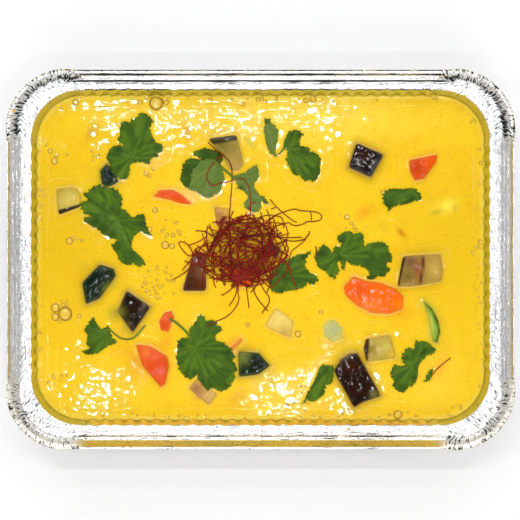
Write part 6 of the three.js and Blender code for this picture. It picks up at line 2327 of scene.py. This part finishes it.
@dataclass
class Froth:
    """Bubbles on the sauce, each a low dome."""

    ground: Ground
    sides: int = 12
    along_wall: int = 90
    height: float = 34.5  # at which their places in the picture are read
    pixel: float = 0.49  # millimetres
    seed: int = 8
    seen: tuple[Spot, ...] = (
        (156, 103, 12.6), (166, 102, 5), (140, 102, 4), (75, 102, 6), (61, 108, 3), (38, 151, 4),
        (50, 151, 5), (56, 155, 4), (54, 161, 6), (46, 145, 3), (67, 154, 3), (149, 176, 4), (155, 210, 5),
        (69, 241, 6),
        (38, 258, 3), (38, 284, 3), (55, 308, 8), (65, 314, 12.5), (55, 317, 7), (63, 305, 4), (79, 316, 4),
        (113, 315, 3), (150, 229, 4), (162, 231, 3), (173, 235, 4), (165, 245, 7), (172, 246, 5),
        (210, 99, 4), (232, 99, 3), (243, 104, 4), (258, 99, 4), (262, 99, 4), (306, 100, 5), (313, 99, 6),
        (436, 98, 4), (481, 163, 4), (383, 192, 4), (347, 217, 5), (351, 223, 3), (354, 227, 3),
        (481, 242, 5), (482, 320, 5), (321, 312, 4), (298, 334, 6), (248, 325, 4), (398, 415, 8),
        (409, 418, 10), (390, 415, 3), (416, 416, 3), (419, 419, 3), (463, 407, 11.5), (455, 414, 6),
    )
    clusters: tuple[tuple[float, float, float, int], ...] = (
        (96, 154, 7, 9), (75, 238, 7, 8), (160, 284, 18, 34), (473, 122, 5, 7), (150, 172, 6, 5),
        (40, 190, 8, 6), (62, 312, 12, 8), (400, 416, 12, 7), (170, 230, 12, 8), (352, 228, 7, 5),
        (476, 250, 5, 6), (300, 400, 16, 8), (60, 380, 14, 8), (458, 412, 8, 6), (160, 100, 14, 6),
    )

    def places(self) -> tuple[Array, Array]:
        """Places and radii of all bubbles, in millimetres."""
        rng = np.random.default_rng(self.seed)
        bubbles = list(self.seen)
        for px, py, reach, count in self.clusters:
            for _ in range(count):
                angle, far = rng.uniform(0, 2 * math.pi), reach * math.sqrt(rng.uniform())
                spot = px + far * math.cos(angle), py + far * math.sin(angle)
                bubbles.append((*spot, rng.uniform(1.6, 3.4)))
        for _ in range(self.along_wall):
            angle = rng.uniform(0, 4)
            side, share = int(angle), angle % 1
            across, down = 40 + 440 * share, 100 + 315 * share
            px, py = ((across, 98.5), (480.5, down), (across, 416), (39.5, down))[side]
            bubbles.append((px + rng.normal(0, 1.2), py + rng.normal(0, 1.2), rng.uniform(1.5, 3.2)))
        plan = np.array([VIEW.place(px, py, self.height) for px, py, _ in bubbles])
        radii = np.array([width for _, _, width in bubbles]) * self.pixel / 2
        keep = Sauce().wall_gap(*plan.T) > radii + 0.15
        return plan[keep], radii[keep]

    def dome(self) -> Object:
        """Shape of one bubble of radius one, with the value edge, 0 on top and 1 at its foot."""
        rings = (
            (1.12, -0.12, 1.0), (1.0, 0.05, 0.95), (0.86, 0.26, 0.75), (0.6, 0.42, 0.45), (0.28, 0.51, 0.2),
        )
        points, edge = [], []
        for radius, z, value in rings:
            for i in range(self.sides):
                angle = i / self.sides * 2 * math.pi
                points.append((radius * math.cos(angle), radius * math.sin(angle), z))
                edge.append(value)
        points.append((0, 0, 0.53))
        edge.append(0.0)
        count = len(rings)
        faces = [tuple(face) for face in grid_faces(count, self.sides, closed=True)]
        last = (count - 1) * self.sides
        faces += [(last + i, last + (i + 1) % self.sides, len(points) - 1) for i in range(self.sides)]
        return make_object("bubble_shape", np.array(points), faces, {"edge": np.array(edge)})

    def build(self, material: Material) -> Object:
        """Makes all bubbles.

        Args:
            material: Their material.

        Returns:
            The finished piece.
        """
        plan, radii = self.places()
        heights = self.ground.heights(plan)
        mesh = bpy.data.meshes.new("sauce_bubbles")
        mesh.from_pydata((np.column_stack([plan, heights]) * MM).tolist(), [], [])
        mesh.attributes.new("radius", "FLOAT", "POINT").data.foreach_set("value", radii)
        shape = self.dome()
        nodes = NodeTree("bubbles", Swell=1.0)
        dome = nodes.add("GeometryNodeObjectInfo", inputs={"Object": shape})
        size = nodes.add("GeometryNodeInputNamedAttribute", {"data_type": "FLOAT"}, {"Name": "radius"})
        scale = nodes.add("ShaderNodeMath", {"operation": "MULTIPLY"}, {
            0: size.outputs[0], 1: nodes.start.outputs["Swell"],
        })
        spread = nodes.add("GeometryNodeInstanceOnPoints", inputs={
            "Points": nodes.start.outputs[0], "Instance": dome.outputs["Geometry"], "Scale": scale.outputs[0],
        })
        nodes.finish(spread.outputs[0], material)
        made = nodes.applied("sauce_bubbles", mesh)
        bpy.data.objects.remove(shape)
        return finished(made, material, "sauce")


@dataclass
class Spice:
    """Specks of spice and chilli, strewn over the sauce."""

    sauce: Object
    density: float = 42000.0  # specks for each square metre
    radius: float = 0.17
    seed: int = 3

    def build(self, material: Material) -> Object:
        """Makes the specks.

        Args:
            material: Their material.

        Returns:
            The finished piece.
        """
        nodes = NodeTree("specks", Density=self.density, Radius=self.radius * MM)
        spots = nodes.add("GeometryNodeDistributePointsOnFaces", inputs={
            "Mesh": nodes.start.outputs[0], "Density": nodes.start.outputs["Density"], "Seed": self.seed,
        })
        bead = nodes.add("GeometryNodeMeshIcoSphere", inputs={
            "Radius": nodes.start.outputs["Radius"], "Subdivisions": 1,
        })
        wide = nodes.add("FunctionNodeRandomValue", {"data_type": "FLOAT_VECTOR"}, {
            0: (0.45, 0.45, 0.2), 1: (1.7, 1.1, 0.45), "Seed": self.seed + 1,
        })
        turn = nodes.add("FunctionNodeRandomValue", {"data_type": "FLOAT_VECTOR"}, {
            0: (0.0, 0.0, 0.0), 1: (0.2, 0.2, 6.28), "Seed": self.seed + 2,
        })
        spread = nodes.add("GeometryNodeInstanceOnPoints", inputs={
            "Points": spots.outputs["Points"], "Instance": bead.outputs["Mesh"],
            "Rotation": turn.outputs[0], "Scale": wide.outputs[0],
        })
        pick = nodes.add("FunctionNodeRandomValue", {"data_type": "FLOAT"}, {"Seed": self.seed + 3})
        shade = nodes.add("GeometryNodeStoreNamedAttribute", {"data_type": "FLOAT", "domain": "INSTANCE"}, {
            "Geometry": spread.outputs[0], "Name": "shade", "Value": pick.outputs[1],
        })
        nodes.finish(shade.outputs[0], material)
        return finished(nodes.applied("spice_specks", self.top()), material, "sauce")

    def top(self) -> Mesh:
        """The faces of the sauce that look up."""
        source = self.sauce.data
        faces = [p.vertices[:] for p in source.polygons if p.normal.z > 0.6]
        mesh = bpy.data.meshes.new("spice_bed")
        mesh.from_pydata([v.co[:] for v in source.vertices], [], faces)
        return mesh


# ---- Studio ---------------------------------------------------------------------


@dataclass(frozen=True)
class Panel:
    """A soft light: its place in metres, its size and its power."""

    name: str
    place: tuple[float, float, float]
    size: tuple[float, float]
    power: float


@dataclass
class Studio:
    """Pale floor, soft light from all sides and the camera straight above."""

    lens: float = 98.9
    panels: tuple[Panel, ...] = (
        Panel("far_softbox", (0.0, 1.3, 1.15), (1.5, 0.9), 6.6),
        Panel("near_softbox", (0.0, -1.3, 1.15), (1.5, 0.9), 6.6),
        *(Panel(f"far_lamp_{k}", (-0.13 + 0.045 * k, 0.125, 0.66), (0.012, 0.006), 0.13) for k in range(5)),
        *(Panel(f"near_lamp_{k}", (x, -0.115, 0.66), (0.012, 0.006), 0.13)
          for k, x in enumerate((-0.14, 0.02, 0.07))),
        Panel("left_lamp", (-0.3, 0.05, 0.72), (0.03, 0.05), 0.25),
        Panel("right_lamp", (0.3, 0.05, 0.72), (0.03, 0.05), 0.25),
        Panel("far_left_lamp", (-0.3, 0.42, 1.0), (0.06, 0.05), 0.45),
        Panel("far_right_lamp", (0.3, 0.42, 1.0), (0.06, 0.05), 0.45),
        Panel("near_far_lamp", (0.15, -0.5, 1.0), (0.08, 0.05), 0.45),
    )
    glow: Plan = (  # brightness of the room by height, from straight down, 0, to straight up, 1
        (0.0, 0.9), (0.2, 0.9), (0.28, 0.15), (0.45, 0.15), (0.55, 0.75), (0.84, 0.75), (0.9, 0.12),
    )

    def build(self, material: Material) -> None:
        """Sets up floor, lights and camera.

        Args:
            material: The floor's material.
        """
        reach = 4000.0
        corners = np.array([(-reach, -reach, 0), (reach, -reach, 0), (reach, reach, 0), (-reach, reach, 0)])
        floor = make_object("floor", corners, [(0, 1, 2, 3)])
        floor.data.materials.append(material)
        floor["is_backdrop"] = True
        for panel in self.panels:
            self.light(panel)
        self.surroundings()
        camera = bpy.data.cameras.new("camera")
        camera.lens = self.lens
        camera.sensor_width = 36.0
        holder = linked("camera", camera)
        holder.location = (VIEW.off * MM, VIEW.off * MM, VIEW.height * MM)
        bpy.context.scene.camera = holder

    def light(self, panel: Panel) -> None:
        """Hangs one soft light, turned to the tray.

        Args:
            panel: The light.
        """
        data = bpy.data.lights.new(panel.name, "AREA")
        data.shape = "RECTANGLE"
        data.size, data.size_y = panel.size
        data.energy = panel.power
        holder = linked(panel.name, data)
        target, place = Vector((0, 0, 0.04)), Vector(panel.place)
        holder.location = place
        holder.rotation_euler = (target - place).to_track_quat("-Z", "Y").to_euler()
        holder.visible_camera = False

    def surroundings(self) -> None:
        """Lights the room: bright walls and ceiling, dimmer straight above and low down."""
        world = bpy.data.worlds.new("room")
        world.use_nodes = True
        bpy.context.scene.world = world
        nodes = Nodes(world.node_tree)
        place = nodes.add("ShaderNodeTexCoord").outputs["Generated"]
        height = nodes.add("ShaderNodeSeparateXYZ", inputs={0: place}).outputs["Z"]
        ramp = nodes.add("ShaderNodeValToRGB", {"stops": self.glow}, {0: height})
        nodes.fill(nodes.tree.nodes["Background"].inputs["Color"], ramp.outputs[0])
        bpy.context.scene.view_settings.view_transform = "Standard"


def main() -> None:
    """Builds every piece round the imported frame, in order."""
    logging.basicConfig(level=logging.INFO, format="%(message)s")
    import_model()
    FoilTray().build(FoilFinish().material())
    sauce = Sauce().build(SauceFinish().material())
    finishes = {
        Kind.AUBERGINE: CutFinish("aubergine_flesh").material(),
        Kind.DARK_AUBERGINE: CutFinish("aubergine_skin", roughness=0.08, depth=0.1, variety=0.15).material(),
        Kind.ZUCCHINI: CutFinish("zucchini", roughness=0.08, depth=0.16).material(),
        Kind.ZUCCHINI_FLESH: CutFinish("zucchini_flesh").material(),
        Kind.CARROT: CutFinish("carrot", fibre=0.7, variety=0.2).material(),
    }
    vegetables = Vegetables().build(finishes)
    ground = Ground([sauce])
    froth_ground = Ground([sauce])
    for piece in vegetables:
        ground.add(piece)
    Herbs(ground).build(LeafFinish().material())
    ChilliNest(ground).build(ThreadFinish().material())
    Froth(froth_ground).build(BubbleFinish().material())
    Spice(sauce).build(SpeckFinish().material())
    Studio().build(FloorFinish().material())
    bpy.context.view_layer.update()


if __name__ == "__main__":
    main()
